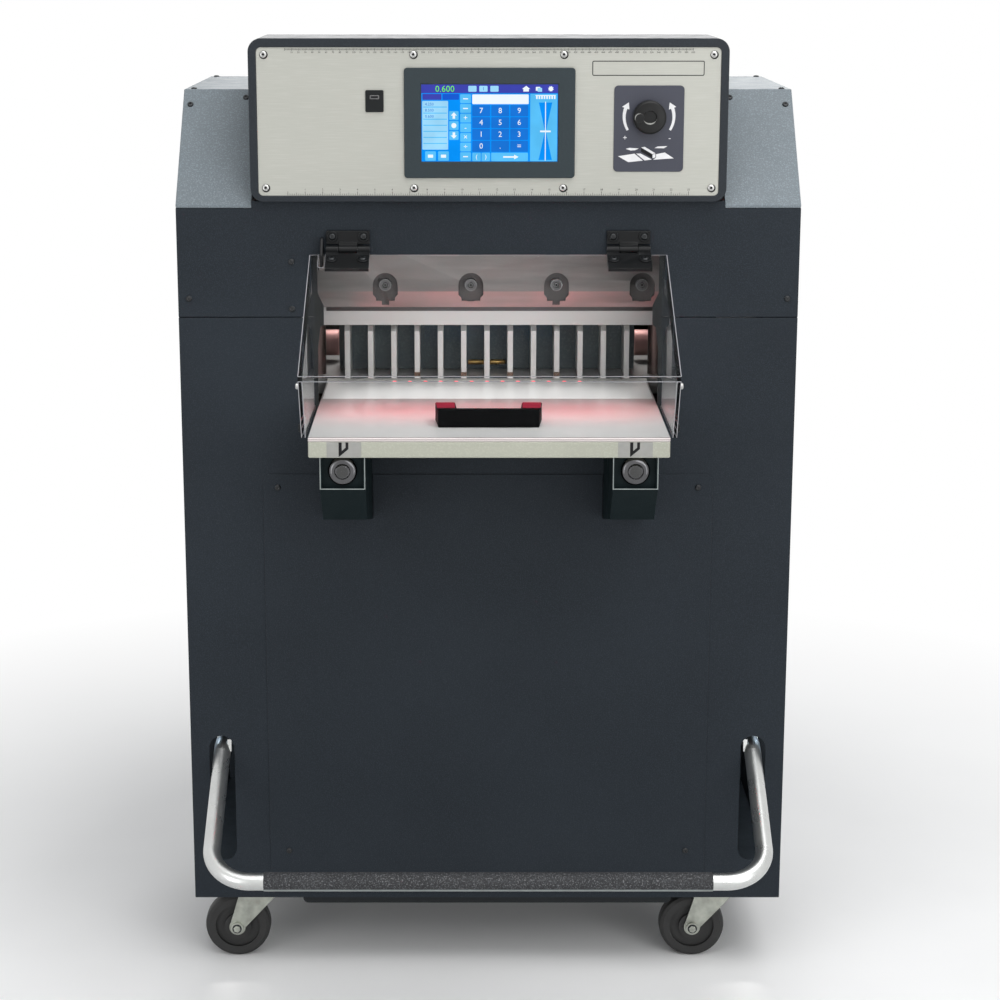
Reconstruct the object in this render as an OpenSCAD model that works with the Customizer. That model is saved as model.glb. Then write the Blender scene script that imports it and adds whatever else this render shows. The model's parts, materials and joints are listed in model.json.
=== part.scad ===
// Floor-standing programmable paper cutter: a hydraulic knife and clamp, a screw-driven back gauge,
// a clear hinged guard, two cut buttons, a foot treadle and four castors.
// X runs to the right, -Y to the front and +Z up. The origin is on the floor under the middle.
// Inside stand(), the second coordinate is the depth behind the front panel.

/* [Cabinet] */
// Width from the rear bed's edge to the outside of a side panel
side_room = 154; // [146:1:180]
// Depth from the front panel to the back panel
cabinet_d = 510; // [505:5:600]
// Height above the paper surface at which the shoulder slope starts
shoulder_up = 295; // [285:1:330]
// Rise of the shoulder slope to the flat top
top_up = 157; // [140:1:200]
// Depth of the shoulder slope
shoulder_run = 144; // [120:1:180]
// Height above the paper surface of the seam between front panel and head panel
seam_up = 131; // [110:1:160]
// Thickness of the panel sheet
sheet = 3; // [2:0.5:4]
// Thickness of the base plate
base_t = 10; // [8:1:16]
// Distance from the cabinet's side to the access panel
access_in = 118; // [100:1:140]
// Drop from the underside of the table to the top of the access panel
access_drop = 75; // [60:1:110]
// Corner radius of the access panel
access_r = 12; // [5:1:25]

/* [Table and bed] */
// Height of the paper surface above the floor
bed_h = 896; // [880:1:910]
// Step on each side from the front table out to the rear bed
table_step = 48.5; // [44:0.5:58]
// Reach of the front table before the front panel
table_reach = 233; // [215:1:245]
// Height of the table's front edge
table_edge = 28; // [24:1:36]
// Thickness of the polished table plate
plate_t = 5; // [3:0.5:6]
// Width of the rear bed
bed_w = 596; // [592:1:598]
// Thickness of the rear bed
bed_t = 25; // [22:1:28]
// Depth of the rear bed's back edge behind the front panel
bed_back = 860; // [850:1:880]
// Width of the cutting stick
stick_w = 20; // [16:1:21]
// Height of the cutting stick
stick_h = 16; // [10:1:18]

/* [Throat and guard] */
// Gap between the table and each side of the throat opening
throat_gap = 7.5; // [5:0.5:12]
// Height of the throat opening above the paper surface
throat_up = 221; // [211:1:231]
// Overlap of the guard on each side of the throat
guard_lap = 1.5; // [1:0.5:5]
// Reach of the guard before the front panel
guard_reach = 281; // [265:1:300]
// Height of the guard's front edge above the paper surface
guard_front_up = 95; // [75:1:110]
// Thickness of the clear guard sheet
guard_t = 6; // [4:0.5:7]
// Height of the lip along the guard's front edge
guard_lip = 8; // [7:0.5:14]
// Distance of each guard hinge in from the guard's side
hinge_in = 55.5; // [48:0.5:75]
// Width of a guard hinge
hinge_w = 63; // [50:1:66]

/* [Console] */
// Width of the sloping shoulder on each side of the console
shoulder_w = 110; // [95:1:116]
// Height of the console housing
console_h = 231; // [226:1:250]
// Corner radius of the console housing
console_r = 19; // [12:1:25]
// Width of the housing's rim on each side of the faceplate
faceplate_rim = 11.5; // [9:0.5:16]
// Height of the housing's rim under the faceplate
faceplate_sill = 8.5; // [6:0.5:11]
// Height of the housing's rim over the faceplate
faceplate_head = 12.5; // [8:0.5:16]
// Width of the screen glass
screen_w = 196; // [170:1:210]
// Height of the screen glass
screen_h = 110; // [95:1:125]
// Width of the frame around the screen glass
bezel_rim = 24; // [15:1:25]
// Diameter of the adjusting knob
knob_d = 47; // [40:1:56]

/* [Knife] */
// Depth of the knife bar's front face behind the front panel
knife_front = 190; // [180:1:192]
// Angle of the knife stroke from the vertical
knife_angle = 30; // [24:1:31]
// Height of the knife edge above the bed when raised
knife_lift = 106.5; // [98:0.5:110]
// Height of the knife bar
bar_h = 172; // [168:1:180]
// Thickness of the knife bar
bar_t = 22; // [20:1:22]
// Thickness of the knife blade
blade_t = 10; // [8:0.5:11]
// Diameter of the guide rollers in the knife bar's diagonal slots
roller_d = 30; // [24:1:32]
// Distance between knife bolts
bolt_pitch = 131.7; // [120:0.5:134]

/* [Clamp] */
// Clamp opening above the bed
clamp_open = 84; // [78:1:86]
// Thickness of the clamp beam from front to back
clamp_t = 76; // [70:1:80]
// Gap between each end of the clamp beam and the rear bed's edge
clamp_in = 10; // [8:1:14]
// Height of the clamp beam
clamp_h = 154; // [140:1:170]
// Diameter of the two clamp rods
rod_d = 28; // [22:1:30]
// Distance of each clamp rod in from the rear bed's edge
rod_in = 30; // [28:1:36]

/* [Back gauge] */
// Number of gauge fingers
finger_n = 13; // [9:2:13]
// Width of a gauge finger
finger_w = 8.5; // [6:0.5:12]
// Distance of the outer gauge fingers in from the table's side
finger_in = 30.5; // [20:0.5:60]
// Height of the gauge fingers
finger_h = 84; // [70:1:88]
// Travel of the gauge from its front stop
gauge_travel = 486; // [440:1:490]
// Diameter of the lead screw
screw_d = 16; // [12:1:20]

/* [Cut buttons] */
// Distance of each cut button in from the table's side
button_in = 46.5; // [40:0.5:70]
// Width of a button bracket
bracket_w = 63; // [55:1:66]
// Diameter of a button collar
collar_d = 40; // [34:1:42]
// Diameter of a button cap
cap_d = 21; // [16:0.5:24]

/* [Treadle] */
// Diameter of the treadle tube
tube_d = 25.4; // [22:0.1:28]
// Distance of each treadle arm in from the cabinet's side
arm_in = 47; // [44:1:57]
// Height of the treadle pivot
pivot_h = 363; // [355:1:375]
// Height of the foot bar
foot_h = 236; // [225:1:250]
// Reach of the foot bar before the front panel
foot_reach = 214; // [195:1:230]
// Centre-line radius of the tube bends
bend_r = 60; // [50:1:75]
// Length of bare tube between an arm and the grip tape
grip_in = 80; // [65:1:125]

/* [Castors] */
// Height of the castors under the cabinet
castor_h = 121; // [119:1:126]
// Diameter of the castor wheels
wheel_d = 102; // [94:1:102]
// Width of the castor wheels
wheel_w = 32; // [26:1:36]
// Distance of each castor in from the cabinet's side
castor_in = 94; // [90:1:97]
// Trail of the swivelling castors
castor_trail = 35; // [28:1:38]
// Depth of the front castors behind the front panel
castor_front = 68; // [64:1:80]
// Depth of the rear castors behind the front panel
castor_back = 440; // [430:1:446]

/* [Loose block] */
// Length of the jogging block
block_l = 152; // [120:1:200]
// Depth of the jogging block
block_d = 52; // [40:1:60]
// Height of the jogging block
block_h = 26; // [18:1:40]

/* [Hidden] */
$fn = 64;
eps = 1;
// Clearances
run_gap = 0.05;
slide_gap = 0.3;
open_gap = 2;
seam_gap = 1;

// Whole machine
rear_reach = bed_back + 9;
front_y = (guard_reach - rear_reach) / 2;
half_w = bed_w / 2 + side_room;
table_w = bed_w - 2 * table_step;
throat_w = table_w + 2 * throat_gap;
throat_top = bed_h + throat_up;
shoulder_h = bed_h + shoulder_up;
top_h = shoulder_h + top_up;
seam_h = bed_h + seam_up;
base_top = castor_h + base_t;
slope_a = atan2(top_h - shoulder_h, shoulder_run);
cover_edge_z = shoulder_h - sheet / cos(slope_a);
top_under = top_h - sheet;
throat_flange = 15;

// Table and bed
table_under = bed_h - table_edge;
throat_sill = table_under - open_gap;
blade_front = knife_front + bar_t;
blade_back = blade_front + blade_t;
clamp_front = blade_back + 2;
clamp_z = bed_h + clamp_open;
clamp_top = clamp_z + clamp_h;
stick_front = blade_back - stick_w * 0.7;
stick_back = stick_front + stick_w;
bed_front = stick_front - seam_gap;
bed_under = bed_h - bed_t;
bed_step = blade_back + 10;
frame_x = bed_w / 2 + open_gap;
frame_t = 25;
frame_front = bed_step;
frame_back = frame_front + 188;
frame_top = clamp_top + 166;
frame_window_d = 90;
frame_window_rise = 169;
frame_window_drop = 231;
frame_window_low = base_top + frame_window_rise;
frame_window_high = bed_under - frame_window_drop;
ledge_front = clamp_front + clamp_t - 10;
beam_h = 90;
beam_drop = 10;
beam_flange = 16;
beam_front = frame_front + 28;
beam_back = frame_back - 20;
rib_x = 212;
rib_w = 25;
rib_h = 25;

// Rear cover around the bed
cover_wall = 2;
cover_half = frame_x + 12;
cover_low = bed_under - 81;
cover_high = bed_h + 114;

// Guard and hinges
guard_w = throat_w + 2 * guard_lap;
guard_front_h = bed_h + guard_front_up;
hinge_x = guard_w / 2 - hinge_in;
guard_rear = 4;
guard_top_d = 12;
hinge_d = 10;
hinge_lift = 6.35;
hinge_pin_d = 5;
knuckle_d = 12;
guard_over = 3;
guard_top_h = throat_top + guard_over;
guard_slope = atan2(guard_top_h - guard_front_h, guard_reach - guard_top_d);
hinge_h = guard_top_h - (hinge_d - guard_top_d) * tan(guard_slope) + hinge_lift / cos(guard_slope);
guard_low = bed_h + seam_gap;
leaf_t = 6;
leaf_l = 48;
leaf_h = 19.5;
mid_knuckle_w = hinge_w * 0.44;
notch_x = hinge_x + hinge_w / 2 + 6;
notch_w = 9;
notch_reach = 38;
strip_t = 4;

// Access panel
access_w = 2 * (half_w - access_in);
access_low = castor_h + 9;
access_top = table_under - access_drop;
access_proud = 1.5;

// Console
console_w = 2 * (half_w - shoulder_w);
faceplate_w = console_w - 2 * faceplate_rim;
faceplate_h = console_h - faceplate_sill - faceplate_head;
console_lift = 6;
console_z = shoulder_h + console_lift;
console_front = 12;
console_wall = 4;
faceplate_t = 3;
faceplate_set = 2;
faceplate_front = console_front - faceplate_set;
faceplate_z = console_z + faceplate_sill + faceplate_h / 2;
faceplate_r = 7;
web_t = 8;
screen_x = 1.5;
screen_z = faceplate_z - 1.5;
bezel_w = screen_w + 2 * bezel_rim;
bezel_h = screen_h + 2 * bezel_rim - 2;
bezel_t = 4;
glass_t = 2;
knob_in = 101.5;
knob_x = faceplate_w / 2 - knob_in;
knob_z = faceplate_z + 7.5;
knob_plate_w = 100;
knob_plate_h = 122;
knob_plate_t = 1.5;
knob_plate_r = 6;
knob_plate_drop = 17;
knob_h = 24;
knob_shaft_d = 8;
spinner_d = 13.6;
spinner_r = knob_d * 0.33;
port_in = 168;
port_x = port_in - faceplate_w / 2;
port_z = faceplate_z + 29.5;
port_w = 26;
port_h = 31;

// Knife
edge_h = bed_h + knife_lift;
blade_show = 9;
bar_low = edge_h + blade_show;
bar_chamfer = 26;
slot_half_d = roller_d / 2 + slide_gap;
roller_x = frame_x + 40;
roller_pad = [30, 18, 45];
roller_z = bar_low + 36;
bar_left = -roller_x - 32;
bar_right = half_w - 14;
knife_stroke = knife_lift / cos(knife_angle);
knife_step = [sin(knife_angle), cos(knife_angle)] * knife_stroke;
bolt_n = 4;
bolt_first = -157;
bolt_z = bar_low + 35.5;
bolt_head_d = 19;
bolt_shank_d = 10;
pocket_d = 38.4;
pocket_side = 15;
pocket_neck = 29;
pocket_neck_drop = [20, 25];
pocket_deep = 12;
pocket_slot = 11.5;
blade_left = -table_w / 2 - 0.5;
blade_right = roller_x - 24;
blade_h = 95;
blade_bevel = 24;
ram_x = half_w - 67;
ram_d = knife_front + bar_t / 2;
ram_rod_d = 18;
ram_foot = [60, 28];
ram_start = 195;
ram_end = 520;
ram_barrel_d = 58;
ram_bore_d = 44;
ram_gland = 25;
ram_seat_s = [265, 345];
ram_seat_out = 45;
ram_seat_half = 55;
ram_seat_t = 18;

// Clamp
clamp_w = bed_w - 2 * clamp_in;
rod_x = bed_w / 2 - rod_in;
clamp_wall = 12;
rod_y = clamp_front + clamp_t / 2 + 6;
rod_socket = 40;
yoke_h = 45;
yoke_d = 46;
barrel_d = 70;
barrel_bore_d = 50;
barrel_up = 79;
barrel_l = 250;
barrel_low = base_top + barrel_up;
barrel_z = [barrel_low, barrel_low + barrel_l];
barrel_gland = 30;
barrel_foot_d = 110;
barrel_foot_h = 14;
yoke_top = barrel_z[1] + 205;
yoke_z = yoke_top - yoke_h;
piston_d = 30;
piston_low = barrel_z[0] + 92;
link_x = -216;
link_t = 10;

// Power pack
tank_x = 75;
tank_front = 60;
tank_top = base_top + 199;
tank_back = frame_back - 20;
pump_d = 150;
pump_l = 210;
pump_front = tank_front + 120;
pump_z = tank_top + pump_d / 2 + 4;
pump_saddle = [90, 140];
valve_block = [80, 40, 90];
valve_front = tank_front + 30;
coupling_d = 46;

// Back gauge
finger_pitch = (table_w - 2 * finger_in) / (finger_n - 1);
finger_l = 68;
finger_toe = 12;
finger_front = clamp_front + clamp_wall + 4;
carriage_front = finger_front + finger_l;
carriage_t = 42;
carriage_w = (finger_n - 1) * finger_pitch + finger_w + 24;
carriage_h = finger_h + 10;
slot_w = 26;
screw_z = bed_under - 34;
motor_w = 57;
motor_l = 58;
motor_front = clamp_front + 10;
block_front = motor_front + motor_l;
bearing_t = 20;
nut_front = block_front + bearing_t + 4;
nut_l = 24;
nut_neck = 22;
slot_front = nut_front - 4;
slot_back = nut_front + nut_l + gauge_travel + 6;
screw_back = bed_back - 4;

// Cut buttons
button_x = table_w / 2 - button_in;
bracket_front = table_reach - 8;
bracket_h = 47;
bracket_knee = [60, 104];
bracket_rear_h = 142;
bracket_wall = 3;
button_set = 9;
button_drop = 21;
button_z = table_under - button_drop;
collar_proud = 10;
cap_proud = 3;
barrel_out_d = 30;
button_l = 26;

// Treadle
arm_x = half_w - arm_in;
grip_l = 2 * (arm_x - grip_in);
pivot_d = cabinet_d - 30;
hub_d = 2 * (cabinet_d - sheet - open_gap - pivot_d);
shaft_d = 30;
arm_slope = 29.2;
arm_l = (pivot_h - foot_h) / sin(arm_slope);
arm_vertex = arm_l * cos(arm_slope) - foot_reach;
bend_run = bend_r * tan(arm_slope / 2);
bend_swell = 0.1;
slot_r = 19;
slot_low = pivot_h - 180;
slot_high = pivot_h + 21;
lever_l = 330;
lever_x = -204;
lever_t = 8;
lever_pin_d = 16;
bearing_x = frame_x + frame_t + 19;
bearing_w = 12;
grip_t = 1;

// Castors
castor_x = half_w - castor_in;
plate_z = castor_h - 4;
race_z = plate_z - 8;
crown_z = race_z - slide_gap - 4.5;
axle_z = wheel_d / 2;
axle_d = 12;
leg_t = 4;
leg_in = wheel_w / 2 + 2;
leg_top_w = 61;
leg_eye_r = 12.7;
king_d = 14;
tray_w = bed_w - 20;
tray_h = 26;
tray_r = 8;
tray_front = 40;
tray_back = castor_back + 30;

// Colours
cabinet_grey = [0.15, 0.17, 0.19];
shoulder_grey = [0.33, 0.36, 0.40];
black = [0.07, 0.07, 0.08];
cream = [0.80, 0.79, 0.72];
steel = [0.70, 0.70, 0.70];
knife_steel = [0.52, 0.48, 0.46];
silver = [0.75, 0.75, 0.73];
zinc = [0.72, 0.74, 0.75];
clear = [0.85, 0.90, 0.92, 0.35];
white = [0.88, 0.87, 0.84];

// Placing and profile helpers

module stand() {
    translate([0, front_y, 0]) children();
}

module both_sides() {
    children();
    mirror([1, 0, 0]) children();
}

module block(low, high) {
    translate(low) cube(high - low);
}

// A flat profile in X and Z, from one depth to another
module facing(d0, d1) {
    translate([0, d1, 0]) rotate([90, 0, 0]) linear_extrude(d1 - d0) children();
}

// A flat profile in depth and Z, from one X to another
module across(x0, x1) {
    translate([x0, 0, 0]) rotate([90, 0, 90]) linear_extrude(x1 - x0) children();
}

module rod_across(x0, x1, d, z, dia) {
    translate([x0, d, z]) rotate([0, 90, 0]) cylinder(h = x1 - x0, d = dia);
}

module rod_deep(d0, d1, x, z, dia) {
    translate([x, d0, z]) rotate([-90, 0, 0]) cylinder(h = d1 - d0, d = dia);
}

module rod_up(z0, z1, x, d, dia) {
    translate([x, d, z0]) cylinder(h = z1 - z0, d = dia);
}

module round_rect(w, h, r) {
    square([w - 2 * r, h], center = true);
    square([w, h - 2 * r], center = true);
    for (x = [-1, 1], z = [-1, 1]) translate([x * (w / 2 - r), z * (h / 2 - r)]) circle(r);
}

// A bar with round ends between two points
module capsule(a, b, dia) {
    span = b - a;
    for (p = [a, b]) translate(p) circle(d = dia);
    translate(a) rotate(atan2(span[1], span[0])) translate([0, -dia / 2]) square([norm(span), dia]);
}

// Casing

function slope_z(d) = cover_edge_z + d * tan(slope_a);

module throat_hole() {
    block([-throat_w / 2, -eps, throat_sill], [throat_w / 2, throat_flange + sheet + eps, throat_top]);
}

module throat_rim() {
    block([-throat_w / 2 - sheet, 0, throat_sill - sheet],
          [throat_w / 2 + sheet, throat_flange + sheet, throat_top + sheet]);
}

module front_panel() {
    color(cabinet_grey) stand() difference() {
        union() {
            block([-half_w, 0, castor_h], [half_w, sheet, seam_h]);
            intersection() {
                throat_rim();
                block([-half_w, 0, castor_h], [half_w, cabinet_d, seam_h]);
            }
        }
        throat_hole();
        both_sides() facing(-eps, sheet + eps)
            capsule([arm_x, slot_low + slot_r], [arm_x, slot_high - slot_r], 2 * slot_r);
    }
}

module head_panel() {
    low = seam_h + seam_gap;
    color(cabinet_grey) stand() difference() {
        union() {
            block([-half_w, 0, low], [half_w, sheet, cover_edge_z]);
            block([-console_w / 2, 0, low], [console_w / 2, sheet, console_z]);
            intersection() {
                throat_rim();
                block([-half_w, 0, low], [half_w, cabinet_d, top_h]);
            }
        }
        throat_hole();
    }
}

module access_panel() {
    notch_w = bracket_w + 2 * seam_gap;
    notch_low = table_under - bracket_rear_h - seam_gap;
    color(cabinet_grey) stand() facing(-access_proud, 0) difference() {
        translate([0, (access_low + access_top) / 2])
            round_rect(access_w, access_top - access_low, access_r);
        for (side = [-1, 1]) translate([side * button_x - notch_w / 2, notch_low])
            square([notch_w, bracket_rear_h]);
    }
}

module side_sheet() {
    across(half_w - sheet, half_w) polygon([
        [sheet, castor_h], [sheet, slope_z(sheet)],
        [shoulder_run + sheet * tan(slope_a / 2), top_under],
        [cabinet_d, top_under], [cabinet_d, castor_h]
    ]);
}

module left_side_panel() {
    color(cabinet_grey) stand() mirror([1, 0, 0]) side_sheet();
}

module right_side_panel() {
    color(cabinet_grey) stand() side_sheet();
}

module back_panel() {
    vent_n = 9;
    vent_pitch = 24;
    vent_half = 110;
    vent_low = castor_h + 120;
    inner = half_w - sheet;
    color(cabinet_grey) stand() difference() {
        block([-inner, cabinet_d - sheet, castor_h], [inner, cabinet_d, top_under]);
        block([-cover_half + cover_wall, 0, cover_low + cover_wall],
              [cover_half - cover_wall, cabinet_d + eps, cover_high - cover_wall]);
        both_sides() facing(cabinet_d - sheet - eps, cabinet_d + eps) for (i = [0 : vent_n - 1])
            capsule([half_w / 2 - vent_half, vent_low + i * vent_pitch],
                    [half_w / 2 + vent_half, vent_low + i * vent_pitch], 8);
    }
}

module shoulder_covers() {
    bend = sheet * tan(slope_a / 2);
    color(shoulder_grey) stand() both_sides() across(console_w / 2, half_w) polygon([
        [0, shoulder_h], [shoulder_run, top_h], [cabinet_d, top_h],
        [cabinet_d, top_under], [shoulder_run + bend, top_under], [0, cover_edge_z]
    ]);
}

module top_cover() {
    color(shoulder_grey) stand()
        block([-console_w / 2, shoulder_run, top_under], [console_w / 2, cabinet_d, top_h]);
}

module base_plate() {
    inner = half_w - sheet;
    color(cabinet_grey) stand()
        block([-inner, sheet, castor_h], [inner, cabinet_d - sheet, base_top]);
}

module tray_profile(w, h, r) {
    translate([-w / 2, r - h]) square([w, h - r]);
    translate([-w / 2 + r, -h]) square([w - 2 * r, r]);
    for (x = [-1, 1]) translate([x * (w / 2 - r), r - h]) circle(r);
}

module drip_tray() {
    wall = 2;
    color(black) stand() translate([0, 0, castor_h]) difference() {
        facing(tray_front, tray_back) tray_profile(tray_w, tray_h, tray_r);
        translate([0, 0, eps]) facing(tray_front + wall, tray_back - wall)
            tray_profile(tray_w - 2 * wall, tray_h - wall + eps, tray_r - wall);
    }
}

module rear_cover() {
    color(cabinet_grey) stand() difference() {
        block([-cover_half, cabinet_d, cover_low], [cover_half, rear_reach, cover_high]);
        block([-cover_half + cover_wall, cabinet_d - eps, cover_low + cover_wall],
              [cover_half - cover_wall, rear_reach - cover_wall, cover_high - cover_wall]);
    }
}

// Frame, table and bed

module ram_axis() {
    translate([ram_x, ram_d, bar_low]) rotate([0, 180 + knife_angle, 0]) children();
}

module side_frames() {
    seat_mid = (ram_seat_s[0] + ram_seat_s[1]) / 2;
    seat_z = bar_low - seat_mid * cos(knife_angle);
    seat_x = ram_x - seat_mid * sin(knife_angle);
    color(cabinet_grey) stand() {
        mirror([1, 0, 0]) frame_plate();
        union() {
            frame_plate();
            block([seat_x - ram_seat_out, frame_front, seat_z - ram_seat_half],
                  [frame_x, frame_front + ram_seat_t, seat_z + ram_seat_half]);
        }
    }
}

module frame_plate() {
    ledge_w = 24;
    ledge_h = 30;
    mid = (frame_front + frame_back) / 2;
    difference() {
        union() {
            block([frame_x, frame_front, base_top], [frame_x + frame_t, frame_back, frame_top]);
            block([frame_x - ledge_w, ledge_front, bed_under - ledge_h], [frame_x, frame_back, bed_under]);
            block([frame_x, frame_front, roller_z - roller_pad[2]],
                  [roller_x + roller_pad[0], frame_front + roller_pad[1], roller_z + roller_pad[2]]);
        }
        across(frame_x - eps, frame_x + frame_t + eps)
            capsule([mid, frame_window_low], [mid, frame_window_high], frame_window_d);
    }
}

module head_beam() {
    high = frame_top - beam_drop;
    low = high - beam_h;
    span = beam_back - beam_front;
    color(cabinet_grey) stand() across(-frame_x, frame_x) {
        translate([beam_front, low]) square([span, beam_flange]);
        translate([beam_front, high - beam_flange]) square([span, beam_flange]);
        translate([beam_front + (span - beam_flange) / 2, low]) square([beam_flange, beam_h]);
    }
}

module front_table() {
    rib = 8;
    web = 8;
    rows = 4;
    cols = 5;
    back = bed_front;
    top = bed_h - plate_t;
    cell_w = (table_w - rib) / cols;
    cell_d = (table_reach + back - rib) / rows;
    color(cream) stand() difference() {
        block([-table_w / 2, -table_reach, table_under], [table_w / 2, back, top]);
        for (i = [0 : cols - 1], j = [1 : rows - 1])
            block([-table_w / 2 + rib + i * cell_w, rib - table_reach + j * cell_d, table_under - eps],
                  [-table_w / 2 + (i + 1) * cell_w, (j + 1) * cell_d - table_reach, top - web]);
    }
}

module table_plate() {
    color(steel) stand()
        block([-table_w / 2, -table_reach, bed_h - plate_t], [table_w / 2, bed_front, bed_h]);
}

module rear_bed() {
    color(steel) stand() difference() {
        union() {
            block([-table_w / 2, bed_front, bed_under], [table_w / 2, bed_step, bed_h]);
            block([-bed_w / 2, bed_step, bed_under], [bed_w / 2, bed_back, bed_h]);
            both_sides() block([rib_x - rib_w / 2, frame_back + 10, bed_under - rib_h],
                               [rib_x + rib_w / 2, bed_back - 10, bed_under]);
        }
        block([-table_w / 2 - eps, bed_front - eps, bed_h - stick_h],
              [table_w / 2 + eps, stick_back, bed_h + eps]);
        block([-slot_w / 2, slot_front, bed_under - eps], [slot_w / 2, slot_back, bed_h + eps]);
        both_sides() rod_up(bed_under - eps, bed_h + eps, rod_x, rod_y, rod_d + 2 * run_gap);
    }
}

module cutting_stick() {
    color(white) stand()
        block([-table_w / 2, stick_front, bed_h - stick_h], [table_w / 2, stick_back, bed_h]);
}

// Console

module console_housing() {
    inner_w = console_w - 2 * console_wall;
    inner_h = console_h - 2 * console_wall;
    ledge = faceplate_t - faceplate_front;
    mid_z = console_z + console_h / 2;
    color(black) stand() difference() {
        translate([0, 0, mid_z]) facing(-console_front, shoulder_run)
            round_rect(console_w, console_h, console_r);
        translate([0, 0, faceplate_z]) facing(-console_front - eps, ledge)
            round_rect(faceplate_w + 2 * run_gap, faceplate_h + 2 * run_gap, faceplate_r);
        translate([0, 0, mid_z]) facing(ledge + web_t, shoulder_run - console_wall)
            round_rect(inner_w, inner_h, console_r - console_wall);
        translate([screen_x, 0, screen_z]) facing(ledge - eps, ledge + web_t + eps)
            square([screen_w, screen_h], center = true);
        rod_deep(ledge - eps, ledge + web_t + eps, knob_x, knob_z, knob_shaft_d + 2 * run_gap);
    }
}

module console_faceplate() {
    color(silver) stand() difference() {
        translate([0, 0, faceplate_z]) facing(-faceplate_front, faceplate_t - faceplate_front)
            round_rect(faceplate_w, faceplate_h, faceplate_r);
        translate([screen_x, 0, screen_z]) facing(-console_front, eps)
            square([screen_w, screen_h], center = true);
        rod_deep(-console_front, eps, knob_x, knob_z, knob_shaft_d + 2 * run_gap);
    }
}

module screen_bezel() {
    bezel_r = 5;
    color(black) stand() translate([screen_x, 0, screen_z]) difference() {
        facing(-faceplate_front - bezel_t, -faceplate_front) round_rect(bezel_w, bezel_h, bezel_r);
        facing(-faceplate_front - bezel_t - eps, eps)
            square([screen_w + 2 * run_gap, screen_h + 2 * run_gap], center = true);
    }
}

module screen_glass() {
    color([0.10, 0.45, 0.85]) stand() translate([screen_x, 0, screen_z])
        facing(-faceplate_front - glass_t, faceplate_t - faceplate_front)
            square([screen_w, screen_h], center = true);
}

module port_plate() {
    port_t = 2;
    slot = [14, 6];
    color(black) stand() translate([port_x, 0, port_z]) difference() {
        facing(-faceplate_front - port_t, -faceplate_front) round_rect(port_w, port_h, 2);
        translate([0, 0, 6]) facing(-faceplate_front - port_t - eps, -faceplate_front - 0.5)
            square(slot, center = true);
    }
}

module knob_plate() {
    color([0.12, 0.13, 0.18]) stand() difference() {
        translate([knob_x, 0, knob_z - knob_plate_drop])
            facing(-faceplate_front - knob_plate_t, -faceplate_front)
                round_rect(knob_plate_w, knob_plate_h, knob_plate_r);
        rod_deep(-console_front - eps, eps, knob_x, knob_z, knob_shaft_d + 2 * run_gap);
    }
}

module micro_knob() {
    seat = -faceplate_front - knob_plate_t - slide_gap;
    hub_r = 9;
    edge = 2.5;
    profile = [
        [0, 0], [knob_d / 2 - 1, 0], [knob_d / 2, 1], [knob_d / 2, knob_h - edge - 4],
        [knob_d / 2 - edge, knob_h - 4], [hub_r + 1, knob_h - 4], [hub_r, knob_h - 7], [0, knob_h - 7]
    ];
    color(black) stand() translate([knob_x, seat, knob_z]) {
        rotate([90, 0, 0]) rotate_extrude() polygon(profile);
        translate([-spinner_r, 0, 0]) rotate([90, 0, 0]) cylinder(h = knob_h, d = spinner_d);
        rotate([-90, 0, 0]) cylinder(h = 24, d = knob_shaft_d);
    }
}

// Cut buttons

module bracket_profile(grow) {
    polygon([
        [-bracket_front - grow, table_under + grow], [-bracket_front - grow, table_under - bracket_h],
        [bracket_knee[0] - bracket_front, table_under - bracket_knee[1]],
        [grow, table_under - bracket_rear_h], [grow, table_under + grow]
    ]);
}

module button_brackets() {
    fold = bracket_wall * 1.1;
    x0 = button_x - bracket_w / 2;
    x1 = button_x + bracket_w / 2;
    plate_d = button_set - bracket_front;
    color(cabinet_grey) stand() both_sides() difference() {
        union() {
            difference() {
                across(x0, x1) bracket_profile(0);
                translate([0, 0, fold]) across(x0 + bracket_wall, x1 - bracket_wall) bracket_profile(eps);
            }
            intersection() {
                across(x0 + bracket_wall / 2, x1 - bracket_wall / 2) bracket_profile(0);
                block([x0, plate_d, 0], [x1, plate_d + bracket_wall, table_under]);
            }
        }
        rod_deep(plate_d - eps, plate_d + bracket_wall + eps, button_x, button_z,
                 barrel_out_d + 2 * run_gap);
    }
}

module button_collars() {
    seat = button_set - bracket_front;
    bore = cap_d / 2 + run_gap;
    profile = [
        [bore, -button_l], [barrel_out_d / 2, -button_l], [barrel_out_d / 2, 0], [collar_d / 2, 0],
        [collar_d / 2, collar_proud * 0.5], [collar_d / 2 - 4, collar_proud], [bore, collar_proud]
    ];
    color(zinc) stand() both_sides() translate([button_x, seat, button_z])
        rotate([90, 0, 0]) rotate_extrude() polygon(profile);
}

module button_cap() {
    seat = button_set - bracket_front;
    tall = collar_proud + cap_proud;
    profile = [
        [0, -button_l], [cap_d / 2, -button_l], [cap_d / 2, tall - 2], [cap_d / 2 - 2, tall],
        [0, tall]
    ];
    color(steel) stand() translate([button_x, seat, button_z])
        rotate([90, 0, 0]) rotate_extrude() polygon(profile);
}

module left_button_cap() {
    mirror([1, 0, 0]) button_cap();
}

module right_button_cap() {
    button_cap();
}

// Guard and hinges

function guard_line(d) = guard_top_h + (d + guard_top_d) * tan(guard_slope);

// Frame at the hinge axis whose -Y axis runs down the guard's slope
module hinge_axis() {
    translate([0, -hinge_d, hinge_h]) rotate([guard_slope, 0, 0]) children();
}

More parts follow.
